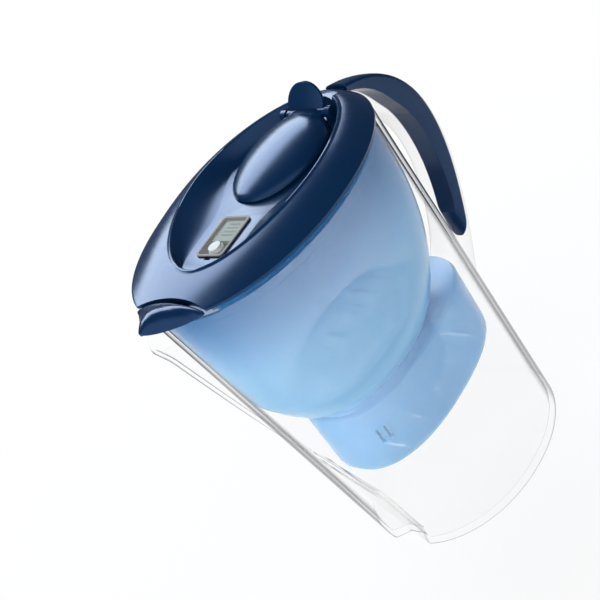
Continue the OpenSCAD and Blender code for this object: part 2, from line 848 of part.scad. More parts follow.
// One section of the spout flap: a crown over a thin crescent
function visor_ring(s) = [
    for (side = [0, 1], i = [0:8])
        let (
            v = side == 0 ? mix(-1, 1, i / 8) : mix(1, -1, i / 8),
            crown = visor_rise * mix(s[2], s[3], v * v)
        )
        [
            visor_axis_x - visor_len * s[0],
            visor_half * s[1] * v,
            visor_axis_z + crown - side * visor_t * (1 - 0.4 * v * v)
        ]
];

module spout_flap() {
    color([0.07, 0.15, 0.32]) {
        skin([for (s = visor_form) visor_ring(s)]);
        translate([visor_axis_x, 0, visor_axis_z])
            rotate([90, 0, 0]) {
                cylinder(r = barrel_r, h = 2 * (visor_ear_y - ear_gap), center = true);
                cylinder(r = trunnion_r, h = 2 * (visor_ear_y + ear_t - ear_gap), center = true);
            }
    }
}

// ---------- sub-parts: meter ----------

module meter_case() {
    color([0.66, 0.65, 0.61])
    difference() {
        union() {
            translate([meter_cx, 0, meter_bottom])
                round_block(case_l, case_w, meter_top - meter_bottom - 0.1, corner_r);
            translate([meter_cx, 0, hollow_z + rest_gap])
                round_block(meter_len, meter_wid, meter_top - hollow_z - rest_gap, corner_r);
        }
        translate([meter_cx, 0, meter_bottom - 1])
            block(inner_l, inner_w, meter_h + 2);
        translate([meter_cx, 0, window_z])
            round_block(window_len, window_wid, 2 * window_t, corner_r - 1);
    }
}

module meter_window() {
    color([0.75, 0.78, 0.72, 0.5])
    difference() {
        translate([meter_cx, 0, window_z + 0.05])
            round_block(window_len - 0.3, window_wid - 0.3, window_t - 0.05, corner_r - 1.15);
        translate([button_cx, 0, window_z - 1])
            cylinder(d = button_d + 0.6, h = window_t + 2);
    }
}

module meter_display() {
    color([0.66, 0.7, 0.62])
    translate([display_cx, 0, display_z])
        block(display_l, inner_w - 0.4, display_t);
}

module display_bars() {
    color([0.2, 0.22, 0.2])
    for (k = [0:3])
        translate([display_cx + 3 * (k - 1.2), -1, display_z + display_t])
            block(bar_w, inner_w / 2, 0.12);
}

module start_button() {
    stem_z = board_z + board_t + button_travel + 0.25;
    color([0.8, 0.82, 0.76])
    translate([button_cx, 0, 0]) {
        translate([0, 0, window_z - 0.4])
            cylinder(d = button_d, h = window_t + 0.9);
        translate([0, 0, window_z - 1.2])
            cylinder(d = button_d + 1.6, h = 0.9);
        translate([0, 0, stem_z])
            cylinder(d = 2.4, h = window_z - stem_z);
    }
}

module circuit_board() {
    color([0.1, 0.4, 0.25])
    translate([meter_cx, 0, board_z])
        block(inner_l - 0.3, inner_w - 0.3, board_t);
}

module display_connector() {
    color([0.25, 0.25, 0.28])
    for (side = [-1, 1])
        translate([display_cx, side * (inner_w / 2 - 2), board_z + board_t])
            block(display_l - 2, 1.8, display_z - board_z - board_t);
}

module coin_cell() {
    color([0.75, 0.76, 0.78])
    translate([meter_cx, 0, cell_z])
        cylinder(r = cell_r, h = cell_h);
}

module battery_contact() {
    color([0.8, 0.75, 0.5]) {
        translate([meter_cx, 0, cell_z + cell_h + 0.05])
            block(2 * cell_r + 4, 4, contact_t);
        for (side = [-1, 1])
            translate([meter_cx + side * (cell_r + 1.6), 0, cell_z + 0.3])
                block(contact_t, 4, cell_h);
    }
}

module meter_back() {
    color([0.07, 0.12, 0.24])
    difference() {
        translate([meter_cx, 0, meter_bottom])
            block(inner_l - 0.2, inner_w - 0.2, back_t);
        translate([meter_cx + inner_l / 2 - 3, 0, meter_bottom - 1])
            block(1.6, 9, 1.5);
    }
}

// ---------- the model ----------

jug_body();
handle_grip();
funnel();
cartridge_body();
cartridge_cap();
cartridge_seal();
cartridge_top_screen();
cartridge_base_screen();
filter_granules();
lid_shell();
refill_flap();
spout_flap();
meter_case();
meter_window();
meter_display();
display_bars();
start_button();
circuit_board();
display_connector();
coin_cell();
battery_contact();
meter_back();
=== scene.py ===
from math import asin, copysign, cos, degrees, pi, radians, sin, sqrt

import bmesh
import bpy
import numpy as np
from bpy.props import FloatProperty, FloatVectorProperty, IntProperty, PointerProperty
from mathutils import Matrix, Vector


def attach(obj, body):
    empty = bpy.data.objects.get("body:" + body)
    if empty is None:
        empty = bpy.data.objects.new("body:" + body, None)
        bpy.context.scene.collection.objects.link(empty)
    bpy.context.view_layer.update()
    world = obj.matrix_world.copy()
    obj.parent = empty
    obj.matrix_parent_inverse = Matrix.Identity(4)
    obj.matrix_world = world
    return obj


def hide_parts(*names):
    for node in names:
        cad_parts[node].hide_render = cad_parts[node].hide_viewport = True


bl_info = {
    "name": "Water Filter Jug",
    "version": (1, 0, 0),
    "blender": (4, 5, 0),
    "location": "View3D > Sidebar > Filter Jug",
    "description": "Dresses the solids of a water filter jug with smooth forms and plastics",
    "category": "Object",
}

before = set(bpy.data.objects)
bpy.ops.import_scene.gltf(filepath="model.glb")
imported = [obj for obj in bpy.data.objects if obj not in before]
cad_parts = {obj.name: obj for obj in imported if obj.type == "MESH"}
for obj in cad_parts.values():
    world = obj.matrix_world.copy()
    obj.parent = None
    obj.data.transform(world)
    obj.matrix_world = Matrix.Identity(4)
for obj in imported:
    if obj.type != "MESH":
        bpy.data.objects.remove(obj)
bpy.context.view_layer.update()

MM = 0.001


# ---------- Sizes and colours that a user would change ----------


def linear(code):
    """An sRGB hex value such as "14294D" as linear red, green and blue."""
    values = [int(code[i:i + 2], 16) / 255 for i in (0, 2, 4)]
    return tuple(v / 12.92 if v <= 0.04045 else ((v + 0.055) / 1.055) ** 2.4 for v in values)


def colour(name, description, code):
    return FloatVectorProperty(
        name=name, description=description, subtype="COLOR", size=3, min=0, max=1, default=linear(code)
    )


def length(name, description, value, low=0.0):
    """A length in metres, given in millimetres."""
    return FloatProperty(
        name=name, description=description, default=value * MM, min=low, unit="LENGTH", precision=5
    )


class JugSizes(bpy.types.PropertyGroup):
    foot_length: length("Foot Length", "Length of the jug's foot, front to back", 158)
    foot_width: length("Foot Width", "Width of the jug's foot", 128)
    mouth_length: length("Mouth Length", "Length of the jug's mouth without the beak", 194)
    mouth_width: length("Mouth Width", "Width of the jug's mouth", 142)
    height: length("Height", "Height of the jug's rim", 258)
    lean: length("Lean", "How far the mouth leans forward over the foot", 24)
    wall: length("Wall", "Thickness of the jug's wall", 2.6)
    floor: length("Floor", "Thickness of the jug's floor", 5)
    rim_round: length("Rim Rounding", "Radius of the rounding on the rim", 0.9)
    ring_points: IntProperty(
        name="Points Around", description="Points around the jug's wall", default=220, min=44
    )


class JugColours(bpy.types.PropertyGroup):
    clear: colour("Clear Plastic", "Tint that the clear plastic gathers at its edges", "2E353D")
    navy: colour("Navy Plastic", "Colour of the lid, the flaps and the grip", "09294A")
    navy_gloss: colour("Navy Gloss", "Tint of the gloss on the navy plastic", "9FC3FF")
    funnel: colour("Blue Plastic", "Colour of the translucent funnel", "A1D1F6")
    cartridge: colour("White Plastic", "Colour of the filter cartridge", "EDF1F5")
    granules: colour("Granules", "Colour of the filter granules", "7A5A3A")
    meter_case: colour("Meter Case", "Colour of the meter's case", "8C8981")
    display: colour("Display", "Colour of the display's glass", "8F9888")
    display_ink: colour("Display Bars", "Colour of the bars in the display", "232824")
    button: colour("Button", "Colour of the start button", "E6E8E3")
    floor: colour("Floor", "Colour of the floor", "F4F5F6")


def sizes():
    return bpy.context.scene.jug_sizes


def colours():
    return bpy.context.scene.jug_colours


# ---------- Materials ----------


def add_node(tree, kind, sockets, out=None, **settings):
    """Adds a node with its settings, fills its sockets with values, colours or other nodes' outputs,
    and gives back the named output, or else the first that the settings leave in use."""
    node = tree.nodes.new("ShaderNode" + kind)
    for name, value in settings.items():
        setattr(node, name, value)
    for name, value in sockets.items():
        socket = node.inputs[name]
        if isinstance(value, bpy.types.NodeSocket):
            tree.links.new(value, socket)
        else:
            socket.default_value = (*value, 1.0) if socket.type == "RGBA" else value
    return node.outputs[out] if out else next((o for o in node.outputs if o.enabled), None)


def ramp(value, low, high, start=0.0, end=1.0):
    """What a Map Range node takes in so that it gives low at start and high at end."""
    return {"Value": value, "To Min": low, "To Max": high, "From Min": start, "From Max": end}


def new_material(name):
    """A material with an empty node tree."""
    material = bpy.data.materials.new(name)
    material.use_nodes = True
    material.node_tree.nodes.clear()
    return material, material.node_tree


def give_surface(material, shader):
    """Leads a shader to the material's output."""
    add_node(material.node_tree, "OutputMaterial", {"Surface": shader})
    return material


def object_noise(tree, size_mm, detail=2.0, stretch=(1, 1, 1)):
    """Noise whose grains measure size_mm on the object, as a factor from 0 to 1."""
    place = add_node(tree, "TexCoord", {}, "Object")
    scaled = add_node(tree, "Mapping", {"Scale": stretch, "Vector": place})
    sockets = {"Scale": 1 / (size_mm * MM), "Detail": detail, "Vector": scaled}
    return add_node(tree, "TexNoise", sockets)


def edge_on(tree, power, low, high):
    """A factor that grows from low on faces turned to the eye to high on faces seen edge-on."""
    facing = add_node(tree, "LayerWeight", {"Blend": 0.5}, "Facing")
    grown = add_node(tree, "Math", {0: facing, 1: power}, operation="POWER")
    return add_node(tree, "MapRange", ramp(grown, low, high))


def textured(tree, pattern, low, high, depth_mm):
    """What a pattern gives a shader: roughness from low to high, and a relief depth_mm deep."""
    return {
        "Roughness": add_node(tree, "MapRange", ramp(pattern, low, high)),
        "Normal": add_node(tree, "Bump", {"Height": pattern, "Distance": depth_mm * MM}),
    }


def white_rays(tree, mirrored_share, seen_share=1.0):
    """How far a place turns plain white for rays from the eye or through glass, and for mirrored rays."""
    rays = add_node(tree, "LightPath", {}).node.outputs
    eye, through = rays["Is Camera Ray"], rays["Is Transmission Ray"]
    straight = add_node(tree, "Math", {0: eye, 1: through}, operation="MAXIMUM")
    seen = add_node(tree, "Math", {0: straight, 1: seen_share}, operation="MULTIPLY")
    glossy = rays["Is Glossy Ray"]
    mirrored = add_node(tree, "Math", {0: glossy, 1: mirrored_share}, operation="MULTIPLY")
    return add_node(tree, "Math", {0: seen, 1: mirrored}, operation="MAXIMUM")


# The clear plastic is solid behind this place, where the handle's bow starts
BOW_START_X = 80
BOW_FADE = 6
# The thick foot ends at this height
FOOT_TOP_Z = 6
# How far a face turns from the eye, from 0 facing it to 1 edge-on, as its grey begins and is full
WALL_TURN = (0.72, 0.91)
FOOT_TURN = (0.54, 0.84)


def injection_moulded_clear_styrene():
    """Clear styrene copolymer from a polished mould: its faces let light straight through, the edges
    of its thin wall gather to grey lines and its solid bow to a grey sheen, and a hard gloss with
    faint flow waves lies on top."""
    material, tree = new_material("clear_styrene")
    waves = object_noise(tree, 22, 1.0, (1, 1, 0.35))
    facing = add_node(tree, "LayerWeight", {"Blend": 0.5}, "Facing")
    place = add_node(tree, "SeparateXYZ", {0: add_node(tree, "TexCoord", {}, "Object")}).node.outputs
    bow_from, bow_to = BOW_START_X * MM, (BOW_START_X + BOW_FADE) * MM
    bow = add_node(tree, "MapRange", ramp(place["X"], 0, 1, bow_from, bow_to))
    foot = add_node(tree, "MapRange", ramp(place["Z"], 0, 1, FOOT_TOP_Z * MM, 0))
    thin_wall, rounded_foot = (
        add_node(tree, "MapRange", ramp(facing, *greys), interpolation_type="SMOOTHSTEP")
        for greys in ((0.01, 0.95, *WALL_TURN), (0.01, 1.0, *FOOT_TURN))
    )
    solid_bow = edge_on(tree, 2.2, 0.015, 0.35)
    above_foot = add_node(tree, "Mix", {"Factor": bow, "A": thin_wall, "B": solid_bow})
    shader = add_node(tree, "BsdfPrincipled", {
        "Base Color": colours().clear,
        "Roughness": 0.05,
        "IOR": 1.55,
        "Specular IOR Level": 0.2,
        "Alpha": add_node(tree, "Mix", {"Factor": foot, "A": above_foot, "B": rounded_foot}),
        "Normal": add_node(tree, "Bump", {"Height": waves, "Distance": 0.12 * MM}),
    })
    return give_surface(material, shader)


# The funnel's blue is painted deeper between these heights: painted shade under the lid's edge, deepest at
# its double rim
PAINTED_SHADE_FROM_Z = 190
PAINTED_SHADE_FULL_Z = 262


def injection_moulded_tinted_styrene():
    """Blue-tinted styrene, hazy inside: pale where light crosses the wall straight, deep blue where it
    crosses at a slant, painted a deeper blue towards its rim as shade under the lid, and glowing a little
    in its depth."""
    material, tree = new_material("tinted_styrene")
    haze = object_noise(tree, 9, 3.0)
    height = add_node(tree, "SeparateXYZ", {0: add_node(tree, "TexCoord", {}, "Object")}, "Z")
    # Painted shade: the blue turns deep towards the top, where the lid's edge shades the funnel
    rise = ramp(height, 0, 1, PAINTED_SHADE_FROM_Z * MM, PAINTED_SHADE_FULL_Z * MM)
    rim = add_node(tree, "MapRange", rise, interpolation_type="SMOOTHSTEP")
    tones = {"Factor": rim, "A": colours().funnel, "B": linear("2F78B0")}
    shader = add_node(tree, "BsdfPrincipled", {
        "Base Color": add_node(tree, "Mix", tones, data_type="RGBA"),
        "IOR": 1.5,
        "Specular IOR Level": 0.35,
        "Alpha": edge_on(tree, 1.5, 0.34, 0.95),
        **textured(tree, haze, 0.12, 0.2, 0.03),
        "Subsurface Weight": 1.0,
        "Subsurface Radius": (0.6, 0.9, 1.0),
        "Subsurface Scale": 4 * MM,
    })
    return give_surface(material, shader)


def polished_navy_abs():
    """Navy ABS from a polished mould: deep colour under a bluish gloss, softened by the haze of fine
    wiping marks."""
    material, tree = new_material("polished_navy_abs")
    wiping = object_noise(tree, 3.0, 4.0, (1, 0.25, 1))
    dark, light = (tuple(c * share for c in colours().navy) for share in (0.9, 1.1))
    tones = {"Factor": object_noise(tree, 30, 1.0), "A": dark, "B": light}
    shader = add_node(tree, "BsdfPrincipled", {
        "Base Color": add_node(tree, "Mix", tones, data_type="RGBA"),
        "IOR": 1.54,
        "Specular Tint": colours().navy_gloss,
        **textured(tree, wiping, 0.17, 0.25, 0.003),
    })
    return give_surface(material, shader)


def satin_polymer(name, tint, roughness=0.42, grain_mm=0.8, depth_mm=0.01, gloss=0.5):
    """Plastic or rubber from a finely sparked mould or press: an even satin sheen with a fine grain."""
    material, tree = new_material(name)
    grain = object_noise(tree, grain_mm)
    shader = add_node(tree, "BsdfPrincipled", {
        "Base Color": tint,
        "IOR": 1.49,
        "Specular IOR Level": gloss,
        **textured(tree, grain, roughness - 0.06, roughness + 0.06, depth_mm),
    })
    return give_surface(material, shader)


# The threads of the nylon gauze are drawn this far apart, coarser than real, so that they show
THREAD_MM = 0.6
# A wave texture draws one band in this many units of its place times its scale
BAND_LENGTH = pi / 10


def woven_nylon_mesh():
    """Fine nylon gauze: a white weave whose threads catch the light."""
    material, tree = new_material("woven_nylon_mesh")
    place = add_node(tree, "TexCoord", {}, "Object")
    weave = {"Scale": BAND_LENGTH / (THREAD_MM * MM), "Distortion": 0.2, "Vector": place}
    warp, weft = (add_node(tree, "TexWave", weave, "Fac", bands_direction=along) for along in ("X", "Y"))
    threads = add_node(tree, "Math", {0: warp, 1: weft}, operation="MAXIMUM")
    tones = {"Factor": threads, "A": linear("9AA3A8"), "B": linear("E9EDEE")}
    shader = add_node(tree, "BsdfPrincipled", {
        "Base Color": add_node(tree, "Mix", tones, data_type="RGBA"),
        "Roughness": 0.6,
        "IOR": 1.5,
        "Normal": add_node(tree, "Bump", {"Height": threads, "Distance": 0.1 * MM}),
    })
    return give_surface(material, shader)


# The granules' width, and the share of them that is amber resin
BEAD_MM = 1.2
RESIN_SHARE = 0.6


def pressed_granules():
    """Resin beads and charcoal: light amber and black grains side by side."""
    material, tree = new_material("filter_granules")
    place = add_node(tree, "TexCoord", {}, "Object")
    beads = add_node(tree, "TexVoronoi", {"Scale": 1 / (BEAD_MM * MM), "Vector": place}).node.outputs
    draw = add_node(tree, "SeparateColor", {"Color": beads["Color"]}, "Red")
    dark = add_node(tree, "Math", {0: draw, 1: RESIN_SHARE}, operation="GREATER_THAN")
    tones = {"Factor": dark, "A": colours().granules, "B": linear("1D1B1A")}
    hollows = {"Height": beads["Distance"], "Distance": -0.5 * MM}
    shader = add_node(tree, "BsdfPrincipled", {
        "Base Color": add_node(tree, "Mix", tones, data_type="RGBA"),
        "Roughness": 0.7,
        "IOR": 1.5,
        "Normal": add_node(tree, "Bump", hollows),
    })
    return give_surface(material, shader)


def polished_display_glass():
    """Liquid crystal glass: grey-green and even, with a thin gloss."""
    material, tree = new_material("display_glass")
    shaded = tuple(c * 0.93 for c in colours().display)
    tones = {"Factor": object_noise(tree, 12, 1.0), "A": shaded, "B": colours().display}
    shader = add_node(tree, "BsdfPrincipled", {
        "Base Color": add_node(tree, "Mix", tones, data_type="RGBA"),
        "Roughness": 0.3,
        "IOR": 1.5,
        "Specular IOR Level": 0.15,
    })
    return give_surface(material, shader)


def cast_acrylic_window():
    """Clear acrylic sheet with a matt coat against glare: it shows the display under a weak, blurred
    gloss."""
    material, tree = new_material("acrylic_window")
    scratches = object_noise(tree, 1.5, 3.0, (1, 0.1, 1))
    shader = add_node(tree, "BsdfPrincipled", {
        "Base Color": linear("9DA297"),
        "Roughness": add_node(tree, "MapRange", ramp(scratches, 0.16, 0.24)),
        "IOR": 1.49,
        "Specular IOR Level": 0.15,
        "Alpha": edge_on(tree, 3, 0.04, 0.5),
    })
    return give_surface(material, shader)


def brushed_metal(name, tint, roughness=0.3):
    """Stamped sheet metal with a fine grain from rolling: a soft streaked glint."""
    material, tree = new_material(name)
    grain = object_noise(tree, 0.4, 2.0, (0.05, 1, 1))
    shader = add_node(tree, "BsdfPrincipled", {
        "Base Color": tint,
        "Metallic": 1.0,
        **textured(tree, grain, roughness - 0.08, roughness + 0.1, 0.002),
    })
    return give_surface(material, shader)


def studio_paper():
    """Matt white paper: it keeps a soft shadow near the object and fades to plain white further out."""
    material, tree = new_material("studio_paper")
    fibres = object_noise(tree, 2.0)
    paper = add_node(tree, "BsdfPrincipled", {
        "Base Color": colours().floor,
        "Roughness": 0.9,
        "IOR": 1.3,
        "Normal": add_node(tree, "Bump", {"Height": fibres, "Distance": 0.01 * MM}),
    })
    white = add_node(tree, "Emission", {"Color": (1, 1, 1), "Strength": 1.0})
    place = add_node(tree, "TexCoord", {}, "Object")
    away = add_node(tree, "VectorMath", {0: place}, operation="LENGTH")
    share = add_node(tree, "MapRange", ramp(away, 0.88, 1.0, 120 * MM, 500 * MM))
    plain = white_rays(tree, share, share)
    return give_surface(material, add_node(tree, "MixShader", {0: plain, 1: paper, 2: white}))


# ---------- Meshes ----------


def mix(a, b, t):
    return a + (b - a) * t


def rounded(value, power):
    """One coordinate of a superellipse."""
    return copysign(abs(value) ** (2 / power), value)


def eased(t):
    """A share that starts and ends gently."""
    return t * t * (3 - 2 * t)


def turns(n):
    """The angles of n even steps round a full turn."""
    return [2 * pi * i / n for i in range(n)]


# The jug's outlines are superellipses of this power
OVAL_POWER = 2.08


def oval(cx, half_l, half_w, z, n, power=OVAL_POWER):
    """A level superellipse of n points, centred on Y."""
    return np.array([
        (cx + half_l * rounded(cos(t), power), half_w * rounded(sin(t), power), z)
        for t in turns(n)
    ])


def bezier(p, t):
    """The place at t on a cubic curve with four control points."""
    p = np.array(p, float)
    return (1 - t) ** 3 * p[0] + 3 * t * (1 - t) ** 2 * p[1] + 3 * t * t * (1 - t) * p[2] + t ** 3 * p[3]


def quarter(n, first=0):
    """Sine and cosine at even steps of a quarter turn."""
    return [(sin(pi / 2 * k / n), cos(pi / 2 * k / n)) for k in range(first, n + 1)]


def skin(name, rings):
    """A mesh skinned over rings with equally many points, in millimetres, and closed at its ends."""
    n = len(rings[0])
    points = [tuple(p * MM) for ring in rings for p in np.asarray(ring, float)]
    faces = []
    for k in range(len(rings) - 1):
        for i in range(n):
            j = (i + 1) % n
            faces.append((k * n + i, k * n + j, (k + 1) * n + j, (k + 1) * n + i))
    faces.append(tuple(reversed(range(n))))
    faces.append(tuple((len(rings) - 1) * n + i for i in range(n)))
    mesh = bpy.data.meshes.new(name)
    mesh.from_pydata(points, [], faces)
    mesh.update()
    piece = bpy.data.objects.new(name, mesh)
    bpy.context.scene.collection.objects.link(piece)
    return piece


def prism(name, outline, z0, z1):
    """An upright prism over an outline in X and Y, in millimetres."""
    return skin(name, [np.array([(x, y, z) for x, y in outline]) for z in (z0, z1)])


def box_prism(name, x0, x1, half_y, z0, z1):
    """A box centred on Y."""
    return prism(name, [(x0, -half_y), (x1, -half_y), (x1, half_y), (x0, half_y)], z0, z1)


def oval_prism(name, cx, half_l, half_w, z0, z1, n, power=OVAL_POWER):
    return skin(name, [oval(cx, half_l, half_w, z, n, power) for z in (z0, z1)])


def cylinder_along_y(name, x, z, radius, y0, y1, n=48, bevel=0.4):
    """A round pin along Y with small bevels, in millimetres."""
    stations = [(y0, radius - bevel), (y0 + bevel, radius), (y1 - bevel, radius), (y1, radius - bevel)]
    return skin(name, [
        np.array([(x + r * sin(a), y, z + r * cos(a)) for a in turns(n)]) for y, r in stations
    ])


def apply_modifiers(piece):
    """Replaces the piece's mesh by what its modifiers give."""
    graph = bpy.context.evaluated_depsgraph_get()
    made = bpy.data.meshes.new_from_object(piece.evaluated_get(graph))
    old = piece.data
    piece.modifiers.clear()
    piece.data = made
    bpy.data.meshes.remove(old)


def remove_piece(piece):
    mesh = piece.data
    bpy.data.objects.remove(piece)
    bpy.data.meshes.remove(mesh)


def combine(piece, others, operation):
    """Joins or cuts a piece with others and removes them."""
    for other in others:
        modifier = piece.modifiers.new(operation.lower(), "BOOLEAN")
        modifier.operation = operation
        modifier.solver = "EXACT"
        modifier.object = other
    bpy.context.view_layer.update()
    apply_modifiers(piece)
    for other in others:
        remove_piece(other)
    if not piece.data.polygons:
        raise RuntimeError(f"{piece.name} came out empty")
    return piece


def merge(piece, others):
    """Puts the meshes of others into the piece as they are."""
    form = bmesh.new()
    form.from_mesh(piece.data)
    for other in others:
        form.from_mesh(other.data)
        remove_piece(other)
    form.to_mesh(piece.data)
    form.free()
    return piece


def dress(piece, material, sharp_deg=32):
    """Gives a piece its material and shades it smooth between its crisp edges."""
    piece.data.materials.clear()
    piece.data.materials.append(material)
    for face in piece.data.polygons:
        face.use_smooth = True
        face.material_index = 0
    piece.data.set_sharp_from_angle(angle=radians(sharp_deg))


def finish_piece(piece, material, body, replaced, sharp_deg):
    """Dresses a new piece and hangs it on its body in place of a node."""
    dress(piece, material, sharp_deg)
    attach(piece, body)
    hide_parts(replaced)


def dress_node(node, material, bevel_mm=0.0):
    """Dresses a solid and, where asked, softens its edges."""
    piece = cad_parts[node]
    dress(piece, material)
    if bevel_mm:
        bevel = piece.modifiers.new("softened_edges", "BEVEL")
        bevel.width = bevel_mm * MM
        bevel.segments = 2
        bevel.limit_method = "ANGLE"
        bevel.angle_limit = radians(40)


# ---------- Form of the jug ----------

# Here and below, sizes are in millimetres, apart from shares, powers, degrees and numbers of points
BEAK_OUT = 17.5
BEAK_HALF = 25.0
BEAK_START = 8.0
BEAK_POWER = 0.75
LIP_DIP = 7.0
DIP_H = 18.9
WAIST_Z = 126.0
FOLD_HALF = 2.5
GROOVE_IN = 9.0
GROOVE_RUN = 0.6
GROOVE_HALF = 15.0
FRONT_PTS = 45
FOOT_ROUND = 4.0
FOOT_IN = 2.4
FLOOR_ROUND = 3.0
FLOOR_IN = 2.5


def jug_h():
    return sizes().height / MM


def jug_cx(z):
    """The middle of the jug's outline at a height, along X."""
    return -sizes().lean / MM * z / jug_h()


def jug_half_l(z):
    return mix(sizes().foot_length, sizes().mouth_length, z / jug_h()) / MM / 2


def jug_half_w(z):
    return mix(sizes().foot_width, sizes().mouth_width, z / jug_h()) / MM / 2


def jug_rear(z):
    return jug_cx(z) + jug_half_l(z)


def jug_front(z):
    return jug_cx(z) - jug_half_l(z)


def fold_half(z):
    """Half the width of the beak or the groove, which both taper to the waist."""
    if z > WAIST_Z:
        return mix(FOLD_HALF, BEAK_HALF, (z - WAIST_Z) / (jug_h() - WAIST_Z))
    return mix(FOLD_HALF, GROOVE_HALF, (WAIST_Z - z) / WAIST_Z)


def front_out(z):
    """How far the front stands out of the oval (beak) or into it (groove)."""
    upper = jug_h() - WAIST_Z + BEAK_START
    if z > WAIST_Z:
        return BEAK_OUT * ((z - WAIST_Z + BEAK_START) / upper) ** BEAK_POWER
    at_waist = BEAK_OUT * (BEAK_START / upper) ** BEAK_POWER
    return mix(at_waist, -GROOVE_IN, min(1, (WAIST_Z - z) / (GROOVE_RUN * WAIST_Z)))


def front_form(v, z):
    """Form across the beak or the groove, softened where the groove's faces meet its floor."""
    if front_out(z) > 0:
        return 1 - abs(v) ** 1.5
    raw = 1.7 * (1 - abs(v))
    return raw if raw < 0.85 else (1 - (1.15 - raw) ** 2 / 0.6 if raw < 1.15 else 1)


def jug_ring(z, inset, widen=0.6):
    """The jug's outline at a height, moved inwards by inset, with the beak or the groove in front."""
    n = sizes().ring_points
    cx, a, b = jug_cx(z), jug_half_l(z) - inset, jug_half_w(z) - inset
    out = front_out(z)
    fold = max(1, fold_half(z) - copysign(1, out) * inset * widen)
    side = degrees(asin((fold / b) ** (OVAL_POWER / 2)))
    dip = max(0, min(1, (z - (jug_h() - DIP_H)) / DIP_H))
    ring = []
    for i in range(n):
        t = radians(mix(-180 + side, 180 - side, i / (n - 1)))
        ring.append((cx + a * rounded(cos(t), OVAL_POWER), b * rounded(sin(t), OVAL_POWER), z))
    for i in range(1, FRONT_PTS - 1):
        v = 1 - 2 * i / (FRONT_PTS - 1)
        y = v * fold
        x = cx - a * (1 - abs(y / b) ** OVAL_POWER) ** (1 / OVAL_POWER)
        ring.append((x - out * front_form(v, z), y, z - dip * LIP_DIP * (1 - abs(v) ** 3)))
    return np.array(ring)


def jug_wall():
    """The jug's wall and floor, from the foot up outside and down again inside."""
    h, wall, floor = jug_h(), sizes().wall / MM, sizes().floor / MM
    r = sizes().rim_round / MM
    rings = [jug_ring(FOOT_ROUND * (1 - c), FOOT_IN * (1 - s), 0) for s, c in quarter(8)]
    rings += [jug_ring(mix(FOOT_ROUND, WAIST_Z, k / 24), 0) for k in range(1, 25)]
    rings += [jug_ring(mix(WAIST_Z, h - r, k / 26), 0) for k in range(1, 27)]
    rings += [jug_ring(h - r * (1 - s), r * (1 - c)) for s, c in quarter(4, 1)]
    rings += [jug_ring(h - r * (1 - c), wall - r * (1 - s)) for s, c in quarter(4)]
    rings += [jug_ring(mix(h - r, WAIST_Z, k / 26), wall) for k in range(1, 27)]
    rings += [jug_ring(mix(WAIST_Z, floor + FLOOR_ROUND, k / 24), wall) for k in range(1, 25)]
    rings += [jug_ring(floor + FLOOR_ROUND * (1 - s), wall + FLOOR_IN * (1 - c)) for s, c in quarter(6, 1)]
    return skin("jug_wall", rings)


# ---------- Form of the handle ----------

HANDLE_REACH = 126.0
HANDLE_RISE = 6.0
ROOT_SHARE = 0.28
HOLE_DROP = 22.0
HOLE_SHARE = 0.45
# How deep the handle's ends are sunk into the jug's wall
SUNK = 1.8
HANDLE_WID = 23.0
GRIP_WID = 18.0
GRIP_T = 15.0
CORE_T = 6.0
GRIP_END_Z = 114.0
GRIP_FROM = 0.016
GRIP_ROUND = 0.05
# Shares of the grip's round end at which its sections stand, closer together towards the tip
TIP_STEPS = (0.1, 0.2, 0.3, 0.4, 0.5, 0.6, 0.7, 0.8, 0.87, 0.93)


def handle_lines():
    """The handle's outer and inner outline, seen from the side."""
    top, root = jug_h() + HANDLE_RISE, ROOT_SHARE * jug_h()
    hole_top, hole_root = jug_h() - HOLE_DROP, HOLE_SHARE * jug_h()
    outer = [
        (jug_rear(jug_h()) - 3, top), (HANDLE_REACH + 61, top - 34),
        (HANDLE_REACH - 33.5, root + 26), (jug_rear(root) - SUNK, root),
    ]
    inner = [
        (jug_rear(hole_top) - SUNK, hole_top), (HANDLE_REACH - 8, hole_top - 10),
        (HANDLE_REACH - 9, hole_root + 42), (jug_rear(hole_root) - SUNK, hole_root),
    ]
    return outer, inner


def grip_end():
    """Where along the handle the grip's channel ends."""
    t = 0.5
    while bezier(handle_lines()[0], t)[1] >= GRIP_END_Z:
        t += 0.01
    return t


def handle_section(t, pairs):
    """A section of the handle from pairs of depth, 0 inside to 1 outside, and y."""
    outer, inner = handle_lines()
    p, q = bezier(inner, t), bezier(outer, t)
    return np.array([(mix(p, q, d)[0], y, mix(p, q, d)[1]) for d, y in pairs])


def handle_depth(t):
    outer, inner = handle_lines()
    return float(np.linalg.norm(bezier(outer, t) - bezier(inner, t)))


def core_depth(t):
    """Thickness of the clear plastic under the grip, which starts as a thin tongue beside the lid."""
    return max(CORE_T, handle_depth(t) - GRIP_T * mix(0.3, 1, eased(min(1, t / 0.25))))


def grip_half(t, end):
    """Half the width of the grip's channel, with its round lower end."""
    drop = max(0, t - end + GRIP_ROUND) / (GRIP_ROUND + 0.002)
    return GRIP_WID / 2 * sqrt(max(0, 1 - drop * drop))


def grip_stations(end, steps):
    """Places along the grip after its start, and those in its round end at the given shares of it."""
    along = [mix(GRIP_FROM, end - GRIP_ROUND, k / 40) for k in range(1, 41)]
    return along + [end - GRIP_ROUND * (1 - k) for k in steps]


